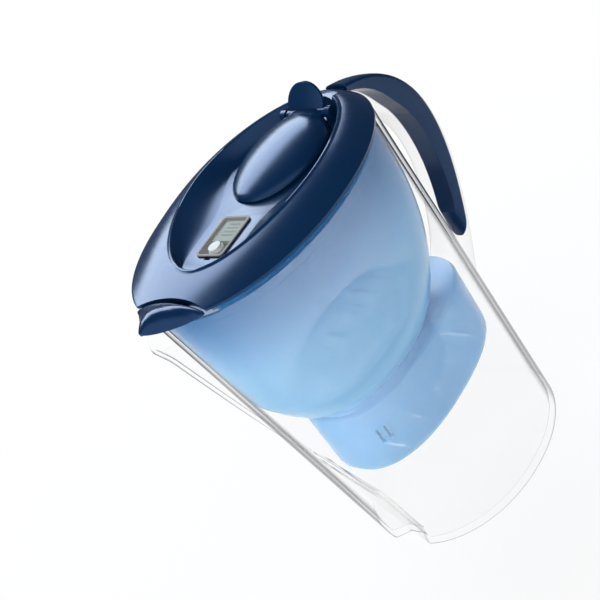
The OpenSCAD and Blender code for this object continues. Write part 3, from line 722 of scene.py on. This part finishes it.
def handle_core():
    """The clear bow of the handle with the channel for the grip in its back."""
    end = grip_end()
    stations = [0, GRIP_FROM - 0.001, GRIP_FROM, *grip_stations(end, (*TIP_STEPS, 0.97, 1)), end + 0.001]
    stations += [mix(end, 1, k / 12) for k in range(1, 13)]
    w = HANDLE_WID / 2
    side = [(1, w - 2), (0.99, w - 1.2), (0.97, w - 0.6), (0.9, w - 0.25), (0.75, w - 0.05), (0.5, w),
            (0.3, w - 0.15), (0.15, w - 0.8), (0.08, w - 1.8), (0.04, w - 3), (0.015, w - 4.4), (0, w - 6)]
    rings = []
    for t in stations:
        d = handle_depth(t)
        g = max(2, grip_half(min(t, end), end))
        c = core_depth(t) / d if GRIP_FROM <= t <= end else 0.97
        back = [(1, -g), (c, 1.5 - g), (c, g - 1.5), (1, g)]
        rings.append(handle_section(t, [*back, *side, *[(p, -y) for p, y in reversed(side)]]))
    rim_way = skin("rim_way", [lid_ring(0.6, z, 160) for z in (jug_h(), jug_h() + 20)])
    return combine(skin("handle_core", rings), [rim_way], "DIFFERENCE")


def handle_insert():
    """The navy grip in the channel, crowned along its back."""
    end = grip_end()
    stations = [GRIP_FROM + 0.002, GRIP_FROM + 0.004, *grip_stations(end, TIP_STEPS), end - 0.002]
    rings = []
    for i, t in enumerate(stations):
        d = handle_depth(t)
        g = grip_half(t, end) - 0.3
        c = (core_depth(t) + 0.6) / d
        low = -1.0 if i == 0 or i == len(stations) - 1 else 0.0
        crown = [
            (1 + (0.5 + 1.8 * cos(a) ** 0.8 + low) / d, g * sin(a) * 0.97)
            for a in [radians(x) for x in range(75, -76, -15)]
        ]
        pairs = [(c, g - 1.5), (0.98, g), (1, g), *crown, (1, -g), (0.98, -g), (c, 1.5 - g)]
        rings.append(handle_section(t, pairs))
    return skin("handle_insert", rings)


# ---------- Form of the funnel ----------

BASIN_H = 124.0
BASIN_LEN = 128.0
BASIN_WID = 86.0
WELL_LEN = 145.0
WELL_WID = 88.0
WELL_H = 50.0
NECK_H = 11.0
WELL_BACK = 2.0
OUTLET_STEP = 24.0
OUTLET_WID = 3.0
OUTLET_LEN = 46.0
SIDE_OUTLET_HALF = 1.1
SIDE_OUTLET_Z = (22.0, 33.0)
SIDE_OUTLET_DEG = (23.0, 27.5)
FUNNEL_WALL = 2.0
FUNNEL_GAP = 0.8
REST_GAP = 0.3
FLANGE_T = 1.2
CART_LEN = 106.0
CART_WID = 56.0
CART_ROOM = 4.4
CART_GAP = 0.4
BEAD_OUT = 0.35
FUNNEL_PTS = 200


def funnel_inset():
    """How far the funnel stands inside the jug's outside."""
    return sizes().wall / MM + FUNNEL_GAP


def basin_z():
    return jug_h() - BASIN_H


def seat_z():
    return basin_z() + FUNNEL_WALL


def well_cx():
    return jug_rear(jug_h()) - funnel_inset() - WELL_BACK - WELL_LEN / 2


def basin_cx():
    return well_cx() - WELL_LEN / 2 + CART_ROOM + CART_LEN / 2


def swell(z):
    """How far the basin has widened at a height, as a share."""
    return 1 - (1 - (z - basin_z()) / BASIN_H) ** 3


def funnel_rear(z):
    rim = jug_rear(jug_h()) - funnel_inset()
    return min(rim, mix(basin_cx() + BASIN_LEN / 2, rim, swell(z)))


def funnel_front(z):
    rim = jug_front(jug_h()) + funnel_inset()
    return max(jug_front(z) + funnel_inset(), mix(basin_cx() - BASIN_LEN / 2, rim, swell(z)))


def funnel_half_w(z):
    rim = jug_half_w(jug_h()) - funnel_inset()
    return min(jug_half_w(z) - funnel_inset(), mix(BASIN_WID / 2, rim, swell(z)))


def basin_ring(inset_l, inset_w, z):
    return oval(basin_cx(), BASIN_LEN / 2 - inset_l, BASIN_WID / 2 - inset_w, z, FUNNEL_PTS)


def funnel_ring(z, inset, n=FUNNEL_PTS):
    rear, front = funnel_rear(z), funnel_front(z)
    return oval((rear + front) / 2, (rear - front) / 2 - inset, funnel_half_w(z) - inset, z, n)


def well_ring(inset, z, n=FUNNEL_PTS):
    return oval(well_cx(), WELL_LEN / 2 - inset, WELL_WID / 2 - inset, z, n, 2.4)


def lid_ring(grow, z, n=FUNNEL_PTS):
    return oval(jug_cx(jug_h()), jug_half_l(jug_h()) + grow, jug_half_w(jug_h()) + grow, z, n)


def slot_cutter(name, x, z0, z1):
    """A prism for an outlet along Y with round ends."""
    outline, radius = [], OUTLET_WID / 2
    for side, first in ((1, 0), (-1, pi)):
        for a in [first + pi * k / 8 for k in range(9)]:
            y = side * (OUTLET_LEN - OUTLET_WID) / 2 + radius * sin(a)
            outline.append((x + radius * cos(a), y))
    return prism(name, outline, z0, z1)


def funnel_form():
    """The funnel: its well, the basin over it and the flange that lies on the jug's rim."""
    h, top = jug_h(), basin_z() - NECK_H
    bottom = top - WELL_H
    inside = FUNNEL_WALL + 0.6
    cx, n = basin_cx(), FUNNEL_PTS
    # How far inwards and how far up the roundings run
    foot = ((6, 0), (3.4, 0.7), (1.9, 1.8), (1.0, 3.4), (0.6, 5.5), (0.5, 7))
    shoulder = ((0.2, -0.2), (0.8, 1.2), (1.5, 2.5))
    rings = [well_ring(inset, bottom + up) for inset, up in foot]
    rings += [well_ring(mix(0.5, 0, k / 6), mix(bottom + 7, top - 0.8, k / 6)) for k in range(1, 7)]
    rings += [well_ring(inset, top + up) for inset, up in shoulder]
    rings += [basin_ring(5, 4, basin_z() - 5), basin_ring(3.2, 2.8, basin_z() - 3)]
    rings += [basin_ring(2, 2, basin_z() - 1)]
    flange = h + REST_GAP
    rings += [funnel_ring(mix(basin_z(), flange, (k / 36) ** 1.3), 0) for k in range(1, 34)]
    rings += [funnel_ring(h - 9, 0), funnel_ring(h - 9 + BEAD_OUT, -BEAD_OUT)]
    rings += [funnel_ring(mix(h - 8.6, flange, k / 4), -BEAD_OUT) for k in range(1, 5)]
    edge = ((-0.9, 0), (-0.6, 0.3), (-0.6, FLANGE_T - 0.3), (-0.9, FLANGE_T))
    rings += [lid_ring(grow, flange + up) for grow, up in edge]
    rings += [funnel_ring(h + 0.6, FUNNEL_WALL - 0.6), funnel_ring(h - 0.3, FUNNEL_WALL)]
    rings += [funnel_ring(mix(seat_z(), h, (k / 36) ** 1.3), FUNNEL_WALL) for k in range(35, 0, -1)]
    rings += [basin_ring(3.8, 3.8, seat_z() + 0.4), basin_ring(5, 5, seat_z())]
    funnel = skin("funnel_shell", rings)
    neck_l, neck_w = BASIN_LEN / 2 - 6.5 - inside, BASIN_WID / 2 - 4 - inside
    cart_l, cart_w = CART_LEN / 2 + CART_GAP, CART_WID / 2 + CART_GAP
    cutters = [
        skin("well_room", [well_ring(inside + 0.8, z) for z in (bottom + FUNNEL_WALL, top - FUNNEL_WALL)]),
        oval_prism("neck_room", cx + 1.5, neck_l, neck_w, top - FUNNEL_WALL - 1, basin_z() - 1, n),
        oval_prism("cartridge_way", cx, cart_l, cart_w, top - 3, h + 40, n),
    ]
    cutters += [
        slot_cutter(f"outlet_{k}", well_cx() + OUTLET_STEP * k, bottom - 1, bottom + WELL_H / 5)
        for k in range(-2, 3)
    ]
    near, far = WELL_WID / 2, WELL_WID / 2 + WELL_LEN / 2
    half, (low, high) = SIDE_OUTLET_HALF, SIDE_OUTLET_Z
    flat = [(near, -half), (far, -half), (far, half), (near, half)]
    for side in (-1, 1):
        for k, swing in enumerate(SIDE_OUTLET_DEG):
            angle = radians(180 + side * swing)
            c, s = cos(angle), sin(angle)
            turned = [(x * c - y * s + well_cx(), x * s + y * c) for x, y in flat]
            cutters.append(prism(f"side_outlet_{side + 1}_{k}", turned, bottom + low, bottom + high))
    hinge_x = visor_axis()[0]
    cutters.append(box_prism("spout_way", jug_front(h) - 1, hinge_x, VISOR_HALF + 3, h - 4, h + 4))
    return combine(funnel, cutters, "DIFFERENCE")


# ---------- Form of the lid and its flaps ----------

CREST_LEN = 151.0
CREST_WID = 98.0
CREST_H = 12.5
CREST_SHIFT = 10.0
CREST_FALL = 3.6
CREST_TILT = 1.3
CREST_POWER = 1.85
HOLLOW_H = 1.6
HOLLOW_IN = 9.0
LID_T = 2.2
SKIRT_H = 7.0
SKIRT_T = 1.6
SKIRT_GAP = 0.5
LID_PTS = 256
FLAP_PTS = 160
TRUNNION_R = 2.0
AXIS_BACK = 15.5
AXIS_UP = 5.0
FLAP_LEN = 76.0
FLAP_WID = 60.0
FLAP_H = 12.0
FLAP_T = 2.0
HUB_R = 3.2
CROWN_BACK = 13.0
TAB_WID = 29.0
TAB_H = 20.0
FLAP_EAR_Y = 16.7
FLAP_EAR_R = 4.0
VISOR_EAR_Y = 20.0
VISOR_EAR_R = 3.8
EAR_T = 4.0
EAR_GAP = 0.4
TAB_T = 3.0
TAB_LEAN = 30.0
TAB_WAY_BACK = 4.8
TAB_WAY_UP = 2.3
TAB_WAY_LEN = 22.0
VISOR_HALF = 28.5
VISOR_LEN = 34.0
VISOR_RISE = 8.6
VISOR_T = 1.8
VISOR_BACK = 17.0
VISOR_DROP = 2.6
VISOR_CUT_R = 86.0
VISOR_CUT_OUT = 4.1
BARREL_R = 2.6
STRIP_HALF = 19.5
STRIP_POWER = 6
STRIP_END = 4.0
METER_PLACE = 0.2815
METER_LEN = 33.0
METER_WID = 22.5
METER_GAP = 0.35
BEZEL = 1.0
CORNER_R = 3.0
NAIL_LEN = 2.4
NAIL_WID = 5.0


def lid_z():
    return jug_h() + FLANGE_T + 2 * REST_GAP + 0.2


def hollow_z():
    return lid_z() + HOLLOW_H


def crest_cx():
    return jug_cx(jug_h()) + CREST_SHIFT


def crest_ring(grow, drop):
    """The crest round the hollow, highest at its sides."""
    return np.array([
        (
            crest_cx() + (CREST_LEN / 2 + grow) * rounded(cos(t), CREST_POWER),
            (CREST_WID / 2 + grow) * rounded(sin(t), CREST_POWER),
            lid_z() + CREST_H - CREST_FALL * cos(t) ** 2 + CREST_TILT * cos(t) - drop,
        )
        for t in turns(LID_PTS)
    ])


def hollow_ring(z):
    """The hollow's floor: a straight strip round the meter that widens to an egg under the refill
    flap."""
    ring = []
    for t in turns(LID_PTS):
        c, s = cos(t), sin(t)
        reach = CREST_LEN / 2 - (STRIP_END if c < 0 else HOLLOW_IN)
        strip = STRIP_HALF * (1 - abs(c) ** STRIP_POWER) ** (1 / STRIP_POWER) if abs(c) < 1 else 0
        egg = (CREST_WID / 2 - HOLLOW_IN) * abs(s)
        share = eased(max(0, min(1, (0.4 - c) / 0.9)))
        side = 0 if abs(s) < 1e-9 else copysign(1, s)
        ring.append((crest_cx() + reach * c, side * mix(egg, strip, share), z))
    return np.array(ring)


def skirt_ring(inset, z):
    return funnel_ring(z, FUNNEL_WALL + SKIRT_GAP + inset, LID_PTS)


def between(r, s, t, bulge, flat=0.0):
    """A ring part of the way between two rings, bulged upwards, and less so by the share flat in front."""
    front = np.maximum(0, -np.cos(turns(len(r)))) ** 2
    lift = np.zeros_like(r)
    lift[:, 2] = bulge * (1 - flat * front) * sin(pi * t)
    return r + (s - r) * t + lift


def flap_axis():
    """Where the refill flap's hinge stands, as X and Z."""
    return crest_cx() + CREST_LEN / 2 - AXIS_BACK, hollow_z() + AXIS_UP


def flap_foot():
    """The middle of the refill flap's foot, as X and Z."""
    return flap_axis()[0] + 1.5 - FLAP_LEN / 2, hollow_z() + 0.5


def visor_axis():
    """Where the spout flap's hinge stands, as X and Z."""
    return jug_front(jug_h()) + VISOR_BACK, lid_z() - VISOR_DROP


def round_prism(name, cx, length_x, width_y, z0, z1, radius):
    """A box centred on Y with round upright corners."""
    outline, reach_x, reach_y = [], length_x / 2 - radius, width_y / 2 - radius
    for sx, sy, first in ((1, 1, 0), (-1, 1, 90), (-1, -1, 180), (1, -1, 270)):
        for k in range(9):
            a = radians(first + 90 * k / 8)
            outline.append((cx + sx * reach_x + radius * cos(a), sy * reach_y + radius * sin(a)))
    return prism(name, outline, z0, z1)


def bored_ear(name, x, y0, y1, z, reach, z_end):
    """An ear with a bore along Y that runs straight up or down to z_end."""
    sign = 1 if z_end < z else -1
    arc = [pi * k / 24 for k in range(25)]
    outline = [(x + reach * cos(a), z + sign * reach * sin(a)) for a in arc]
    outline += [(x - reach, z_end), (x + reach, z_end)]
    ear = skin(name, [np.array([(px, y, pz) for px, pz in outline]) for y in (y0, y1)])
    bore = cylinder_along_y("bore", x, z, TRUNNION_R + 0.08, y0 - 1, y1 + 1, 48, 0.01)
    return combine(ear, [bore], "DIFFERENCE")


def lid_form():
    """The lid: edge, dome, crest round the hollow, with the openings for the flaps and the meter."""
    n = LID_PTS
    z, hz = lid_z(), hollow_z()
    edge, floor = lid_ring(-0.15, z + 1.85, n), hollow_ring(hz)
    crest_out, crest_in = crest_ring(1.4, 0.7), crest_ring(-1.2, 0.7)
    rings = [hollow_ring(hz - LID_T), crest_ring(-1, LID_T + 0.6)]
    rings += [skirt_ring(SKIRT_T, z), skirt_ring(SKIRT_T, z - SKIRT_H)]
    rings += [skirt_ring(0, z - SKIRT_H), skirt_ring(0, z)]
    rings += [lid_ring(grow, z + up, n) for grow, up in ((-0.2, 0), (0, 0.2), (0.15, 1.1), (0.2, 1.6))]
    rings += [edge, *[between(edge, crest_out, k / 22, 1.5, 0.8) for k in range(1, 22)]]
    rings += [crest_out, crest_ring(0.75, 0.22), crest_ring(0, 0), crest_ring(-0.65, 0.2), crest_in]
    rings += [*[between(crest_in, floor, k / 18, -1.6) for k in range(1, 18)], floor]
    lid = skin("lid_dome", rings)
    (flap_x, flap_z), (visor_x, visor_z) = flap_axis(), visor_axis()
    front, way_x, way_z = jug_front(jug_h()), flap_x + TAB_WAY_BACK, flap_z + TAB_WAY_UP
    low, high = hz - 2 * LID_T, hz + 2 * LID_T
    meter_cx, bezel = crest_cx() - METER_PLACE * CREST_LEN, 2 * (BEZEL - METER_GAP)
    nail_x = meter_cx - METER_LEN / 2
    cut_x = visor_x - VISOR_CUT_OUT - VISOR_CUT_R
    cutters = [
        oval_prism("fill_way", flap_foot()[0] - 4, FLAP_LEN / 2 - 10, FLAP_WID / 2 - 9, low, high, 96, 2.2),
        round_prism("meter_way", meter_cx, METER_LEN - bezel, METER_WID - bezel, low, high, CORNER_R),
        box_prism("nail_slot", nail_x - NAIL_LEN, nail_x, NAIL_WID / 2, hz - 1, hz + 1),
        box_prism("tab_way", way_x, way_x + TAB_WAY_LEN, TAB_WID / 2 + 1.5, way_z, way_z + CREST_H),
        oval_prism("spout_mouth", cut_x, VISOR_CUT_R, VISOR_CUT_R, z - 1, z + CREST_H, 360, 2),
        box_prism("spout_room", front - 2, front + VISOR_BACK + 3, VISOR_HALF + 1, z - SKIRT_H - 1, z),
    ]
    combine(lid, cutters, "DIFFERENCE")
    ears = []
    for side in (-1, 1):
        for name, x, ear_y, ear_z, reach, end in (
            ("flap_ear", flap_x, FLAP_EAR_Y, flap_z, FLAP_EAR_R, hz - LID_T + 0.2),
            ("spout_ear", visor_x, VISOR_EAR_Y, visor_z, VISOR_EAR_R, z + LID_T),
        ):
            y0, y1 = sorted((side * ear_y, side * (ear_y + EAR_T)))
            ears.append(bored_ear(f"{name}_{side + 1}", x, y0, y1, ear_z, reach, end))
    return merge(lid, ears)


def saddle_ring(t):
    """One section of the saddle that carries the refill flap's crown on to its hub."""
    (axis_x, axis_z), (cx, foot_z) = flap_axis(), flap_foot()
    x = mix(cx + CROWN_BACK + 6, axis_x, t)
    top = mix(foot_z + FLAP_H - 0.7, axis_z + HUB_R + 0.5, t * t)
    low = mix(foot_z + FLAP_H / 2, axis_z, t)
    half = mix(13, FLAP_EAR_Y - EAR_GAP - 1, t)
    angles = [pi * i / 40 for i in range(41)]
    return np.array([
        (x, half * cos(a), low + (top - low) * max(0, sin(a)) ** 0.8) for a in angles
    ])


def thumb_tab():
    """The flap's thumb tab: a leaning disc cut off at the hub, with rounded rims."""
    (axis_x, axis_z), radius, lean = flap_axis(), TAB_WID / 2, radians(TAB_LEAN)
    centre = TAB_H - radius
    start = asin(-centre / radius)
    outline = [
        (radius * cos(a), centre + radius * sin(a))
        for a in [mix(start, pi - start, k / 60) for k in range(61)]
    ]
    rings = []
    for depth, shrink in ((-1, 0.9), (-0.9, 0.35), (-0.6, 0), (0.6, 0), (0.9, 0.35), (1, 0.9)):
        depth, share = depth * TAB_T / 2, (radius - shrink) / radius
        ring = []
        for y, up in outline:
            up = max(centre + (up - centre) * share, 0)
            x = axis_x + depth * cos(lean) + up * sin(lean)
            z = axis_z - depth * sin(lean) + up * cos(lean)
            ring.append((x, y * share, z))
        rings.append(np.array(ring))
    return skin("thumb_tab", rings)


def flap_ring(share, inset):
    """A ring of the flap's egg, from its foot at share 0 almost to its crown at 1."""
    (cx, foot_z), a = flap_foot(), radians(mix(0, 88, share))
    half_l, half_w, rise = FLAP_LEN / 2 - inset, FLAP_WID / 2 - inset, FLAP_H - inset
    back, narrow, up = CROWN_BACK * sin(a) ** 2, cos(a), sin(a)
    return oval(cx + back, half_l * narrow, half_w * narrow, foot_z + rise * up, FLAP_PTS)


def refill_flap_form():
    """The egg-shaped flap with its hub, pins and thumb tab."""
    (x, z), (cx, foot_z), end = flap_axis(), flap_foot(), FLAP_EAR_Y - EAR_GAP
    rings = [flap_ring(k / 25, FLAP_T) for k in range(25, -1, -1)]
    for k in range(6):
        a = pi * k / 5
        inset, low = FLAP_T - FLAP_T / 2 * (1 - cos(a)), foot_z + 0.45 * (1 - sin(a))
        rings.append(oval(cx, FLAP_LEN / 2 - inset, FLAP_WID / 2 - inset, low, FLAP_PTS))
    rings += [flap_ring(k / 26, 0) for k in range(1, 27)]
    flap = skin("refill_flap_dome", rings)
    saddle = skin("saddle", [saddle_ring(k / 24) for k in range(25)])
    hub = cylinder_along_y("hub", x, z, HUB_R, -end, end, 64)
    pins = cylinder_along_y("pins", x, z, TRUNNION_R, -end - EAR_T, end + EAR_T)
    return merge(flap, [saddle, hub, pins, thumb_tab()])


# Sections from the trunnions to the tip: share of the length, share of the half width, and the
# heights of the crown and the edge over the trunnions as shares of the rise
VISOR_FORM = [
    (0.06, 0.30, 0.12, 0.10), (0.135, 0.30, 0.22, 0.20), (0.17, 0.36, 0.42, 0.26),
    (0.19, 0.50, 0.58, 0.29), (0.215, 0.66, 0.72, 0.31), (0.25, 0.82, 0.88, 0.32),
    (0.295, 0.97, 1.02, 0.33), (0.33, 0.985, 1.10, 0.33), (0.42, 0.86, 1.27, 0.33),
    (0.553, 0.69, 1.45, 0.36), (0.66, 0.545, 1.51, 0.45), (0.774, 0.39, 1.50, 0.59),
    (0.88, 0.25, 1.38, 0.77), (0.955, 0.14, 1.23, 0.94), (1.0, 0.04, 1.09, 1.07),
]


def visor_stations():
    """The spout flap's sections with smooth ones between them, never past their neighbours."""
    form = np.array(VISOR_FORM)
    x, steps = form[:, 0], np.diff(form, axis=0)
    slopes = steps / steps[:, :1]
    tangents = np.zeros_like(form)
    tangents[0], tangents[-1] = slopes[0], slopes[-1]
    for k in range(1, len(form) - 1):
        a, b = slopes[k - 1], slopes[k]
        same = a * b > 0
        tangents[k][same] = 2 * a[same] * b[same] / (a[same] + b[same])
    made = []
    for k in range(len(form) - 1):
        width = x[k + 1] - x[k]
        for i in range(6):
            t = i / 6
            made.append(
                (2 * t ** 3 - 3 * t ** 2 + 1) * form[k] + (t ** 3 - 2 * t ** 2 + t) * width * tangents[k]
                + (3 * t ** 2 - 2 * t ** 3) * form[k + 1] + (t ** 3 - t ** 2) * width * tangents[k + 1]
            )
    return made + [form[-1]]


def spout_flap_form():
    """The spout flap: a thin shell arched over the beak, with its barrel and pins."""
    (x, z), end = visor_axis(), VISOR_EAR_Y - EAR_GAP
    rings = []
    for along, across, crown, edge in visor_stations():
        ring = []
        for side in (0, 1):
            for i in range(33):
                v = mix(-1, 1, i / 32) if side == 0 else mix(1, -1, i / 32)
                up = VISOR_RISE * mix(crown, edge, v * v)
                drop = side * VISOR_T * (1 - 0.4 * v * v)
                ring.append((x - VISOR_LEN * along, VISOR_HALF * across * v, z + up - drop))
        rings.append(np.array(ring))
    flap = skin("spout_flap_shell", rings)
    barrel = cylinder_along_y("barrel", x, z, BARREL_R, -end, end)
    pins = cylinder_along_y("visor_pins", x, z, TRUNNION_R, -end - EAR_T, end + EAR_T)
    return merge(flap, [barrel, pins])


# ---------- Operators ----------

FLOOR_R = 600
FLOOR_T = 4


class JUG_OT_body(bpy.types.Operator):
    """Build the clear jug with its bow handle"""

    bl_idname = "jug.body"
    bl_label = "Jug"

    def execute(self, context):
        body = combine(jug_wall(), [handle_core()], "UNION")
        finish_piece(body, injection_moulded_clear_styrene(), "jug", "jug_body", 28)
        return {"FINISHED"}


class JUG_OT_grip(bpy.types.Operator):
    """Build the navy insert in the handle"""

    bl_idname = "jug.grip"
    bl_label = "Handle Grip"

    def execute(self, context):
        finish_piece(handle_insert(), polished_navy_abs(), "jug", "handle_grip", 40)
        return {"FINISHED"}


class JUG_OT_funnel(bpy.types.Operator):
    """Build the translucent funnel with its well"""

    bl_idname = "jug.funnel"
    bl_label = "Funnel"

    def execute(self, context):
        tinted = injection_moulded_tinted_styrene()
        finish_piece(funnel_form(), tinted, "hopper", "funnel", 30)
        return {"FINISHED"}


class JUG_OT_cartridge(bpy.types.Operator):
    """Give the cartridge's pieces their finishes"""

    bl_idname = "jug.cartridge"
    bl_label = "Cartridge"

    def execute(self, context):
        white = satin_polymer("white_polypropylene", colours().cartridge)
        dress_node("cartridge_body", white)
        dress_node("cartridge_cap", white)
        dress_node("cartridge_seal", satin_polymer("silicone_seal", linear("5F86B8"), 0.5, 1.0, 0.01))
        mesh = woven_nylon_mesh()
        dress_node("cartridge_top_screen", mesh)
        dress_node("cartridge_base_screen", mesh)
        dress_node("filter_granules", pressed_granules())
        return {"FINISHED"}


class JUG_OT_lid(bpy.types.Operator):
    """Build the domed lid"""

    bl_idname = "jug.lid"
    bl_label = "Lid"

    def execute(self, context):
        finish_piece(lid_form(), polished_navy_abs(), "lid", "lid_shell", 34)
        return {"FINISHED"}


class JUG_OT_flaps(bpy.types.Operator):
    """Build the refill flap and the spout flap"""

    bl_idname = "jug.flaps"
    bl_label = "Flaps"

    def execute(self, context):
        navy = polished_navy_abs()
        finish_piece(refill_flap_form(), navy, "flap", "refill_flap", 34)
        finish_piece(spout_flap_form(), navy, "spout_cover", "spout_flap", 40)
        return {"FINISHED"}


class JUG_OT_meter(bpy.types.Operator):
    """Give the meter's pieces their finishes"""

    bl_idname = "jug.meter"
    bl_label = "Meter"

    def execute(self, context):
        case = satin_polymer("meter_case_abs", colours().meter_case, 0.45, 0.6, 0.006, 0.2)
        button = satin_polymer("button_rubber", colours().button, 0.5, 0.5, 0.006, 0.2)
        board = satin_polymer("glass_fibre_board", linear("1F6B45"), 0.35, 0.7, 0.01)
        strip = satin_polymer("striped_silicone", linear("4A4B50"), 0.55, 0.4, 0.01)
        ink = satin_polymer("display_ink", colours().display_ink, 0.4, 0.3, 0.002)
        steel = brushed_metal("cell_steel", linear("C9CBCD"))
        brass = brushed_metal("contact_brass", linear("D6C486"), 0.25)
        for node, material, bevel_mm in (
            ("meter_case", case, 0.25), ("meter_back", case, 0.15),
            ("meter_window", cast_acrylic_window(), 0.12), ("meter_display", polished_display_glass(), 0),
            ("display_bars", ink, 0), ("start_button", button, 0.3), ("circuit_board", board, 0),
            ("display_connector", strip, 0), ("coin_cell", steel, 0.2), ("battery_contact", brass, 0),
        ):
            dress_node(node, material, bevel_mm)
        return {"FINISHED"}


class JUG_OT_stage(bpy.types.Operator):
    """Set up the floor, the lights, the world and the camera"""

    bl_idname = "jug.stage"
    bl_label = "Stage"

    def execute(self, context):
        floor = oval_prism("floor", 0, FLOOR_R, FLOOR_R, -FLOOR_T, 0, 128, 2)
        floor.data.materials.append(studio_paper())
        add_lamp("rear_softbox", (474, 890, 893), (-14, 0, 262), 1200, 560, 15.0, (0.80, 0.90, 1.0))
        world_light()
        add_camera()
        return {"FINISHED"}


def add_lamp(name, place, target, width, depth, power, tint):
    """A rectangular softbox; places and sizes in millimetres."""
    lamp = bpy.data.lights.new(name, "AREA")
    lamp.shape = "RECTANGLE"
    lamp.size, lamp.size_y = width * MM, depth * MM
    lamp.energy = power
    lamp.color = tint
    holder = bpy.data.objects.new(name, lamp)
    holder.location = Vector(place) * MM
    holder.rotation_euler = (Vector(target) - Vector(place)).to_track_quat("-Z", "Y").to_euler()
    bpy.context.scene.collection.objects.link(holder)


def world_light():
    """A dim surround with a broad pale glow from the front, and white where the camera looks at it."""
    world = bpy.data.worlds.new("studio")
    world.use_nodes = True
    tree = world.node_tree
    tree.nodes.clear()
    direction = add_node(tree, "TexCoord", {}, "Generated")
    front = {0: direction, 1: (-0.84, -0.51, 0.17)}
    towards = add_node(tree, "VectorMath", front, operation="DOT_PRODUCT")
    glow = add_node(tree, "MapRange", ramp(towards, 0, 1, 0.2, 0.95), interpolation_type="SMOOTHSTEP")
    tones = {"Factor": glow, "A": (0.09, 0.11, 0.15), "B": (2.1, 2.13, 2.18)}
    tone = add_node(tree, "Mix", tones, data_type="RGBA")
    light = add_node(tree, "Background", {"Color": tone, "Strength": 1.0})
    white = add_node(tree, "Background", {"Color": (1, 1, 1), "Strength": 1.0})
    shown = add_node(tree, "MixShader", {0: white_rays(tree, glow), 1: light, 2: white})
    add_node(tree, "OutputWorld", {"Surface": shown})
    bpy.context.scene.world = world


def add_camera():
    """A slightly rolled view from the front left, looking down over the lid."""
    # Radians and millimetres
    turn, rise, roll = -0.604484984, 0.544417244, 0.619712218
    distance, shift_right, shift_up, aim_z = 897.29849, -47.8376577, 12.1271143, 134
    back = Vector((sin(turn) * cos(rise), -cos(turn) * cos(rise), sin(rise)))
    level = Vector((cos(turn), sin(turn), 0))
    upright = back.cross(level)
    right = cos(roll) * level - sin(roll) * upright
    up = sin(roll) * level + cos(roll) * upright
    place = Vector((0, 0, aim_z)) + right * shift_right + up * shift_up + back * distance
    lens = bpy.data.cameras.new("camera")
    lens.sensor_width = 36
    lens.sensor_fit = "HORIZONTAL"
    lens.lens = 84
    lens.clip_start = 0.01
    camera = bpy.data.objects.new("camera", lens)
    matrix = Matrix((right, up, back)).transposed().to_4x4()
    matrix.translation = place * MM
    camera.matrix_world = matrix
    bpy.context.scene.collection.objects.link(camera)
    bpy.context.scene.camera = camera


class JUG_PT_panel(bpy.types.Panel):
    """Lists the steps that build the jug"""

    bl_label = "Water Filter Jug"
    bl_idname = "JUG_PT_panel"
    bl_space_type = "VIEW_3D"
    bl_region_type = "UI"
    bl_category = "Filter Jug"

    def draw(self, context):
        for step in STEPS:
            self.layout.operator(step.bl_idname)


STEPS = (
    JUG_OT_body, JUG_OT_grip, JUG_OT_funnel, JUG_OT_cartridge, JUG_OT_lid, JUG_OT_flaps,
    JUG_OT_meter, JUG_OT_stage,
)
CLASSES = (JugSizes, JugColours, *STEPS, JUG_PT_panel)


def register():
    for item in CLASSES:
        bpy.utils.register_class(item)
    bpy.types.Scene.jug_sizes = PointerProperty(type=JugSizes)
    bpy.types.Scene.jug_colours = PointerProperty(type=JugColours)


def unregister():
    del bpy.types.Scene.jug_colours
    del bpy.types.Scene.jug_sizes
    for item in reversed(CLASSES):
        bpy.utils.unregister_class(item)


def main():
    register()
    bpy.context.scene.view_settings.view_transform = "Standard"
    bpy.ops.jug.body()
    bpy.ops.jug.grip()
    bpy.ops.jug.funnel()
    bpy.ops.jug.cartridge()
    bpy.ops.jug.lid()
    bpy.ops.jug.flaps()
    bpy.ops.jug.meter()
    bpy.ops.jug.stage()


if __name__ == "__main__":
    main()
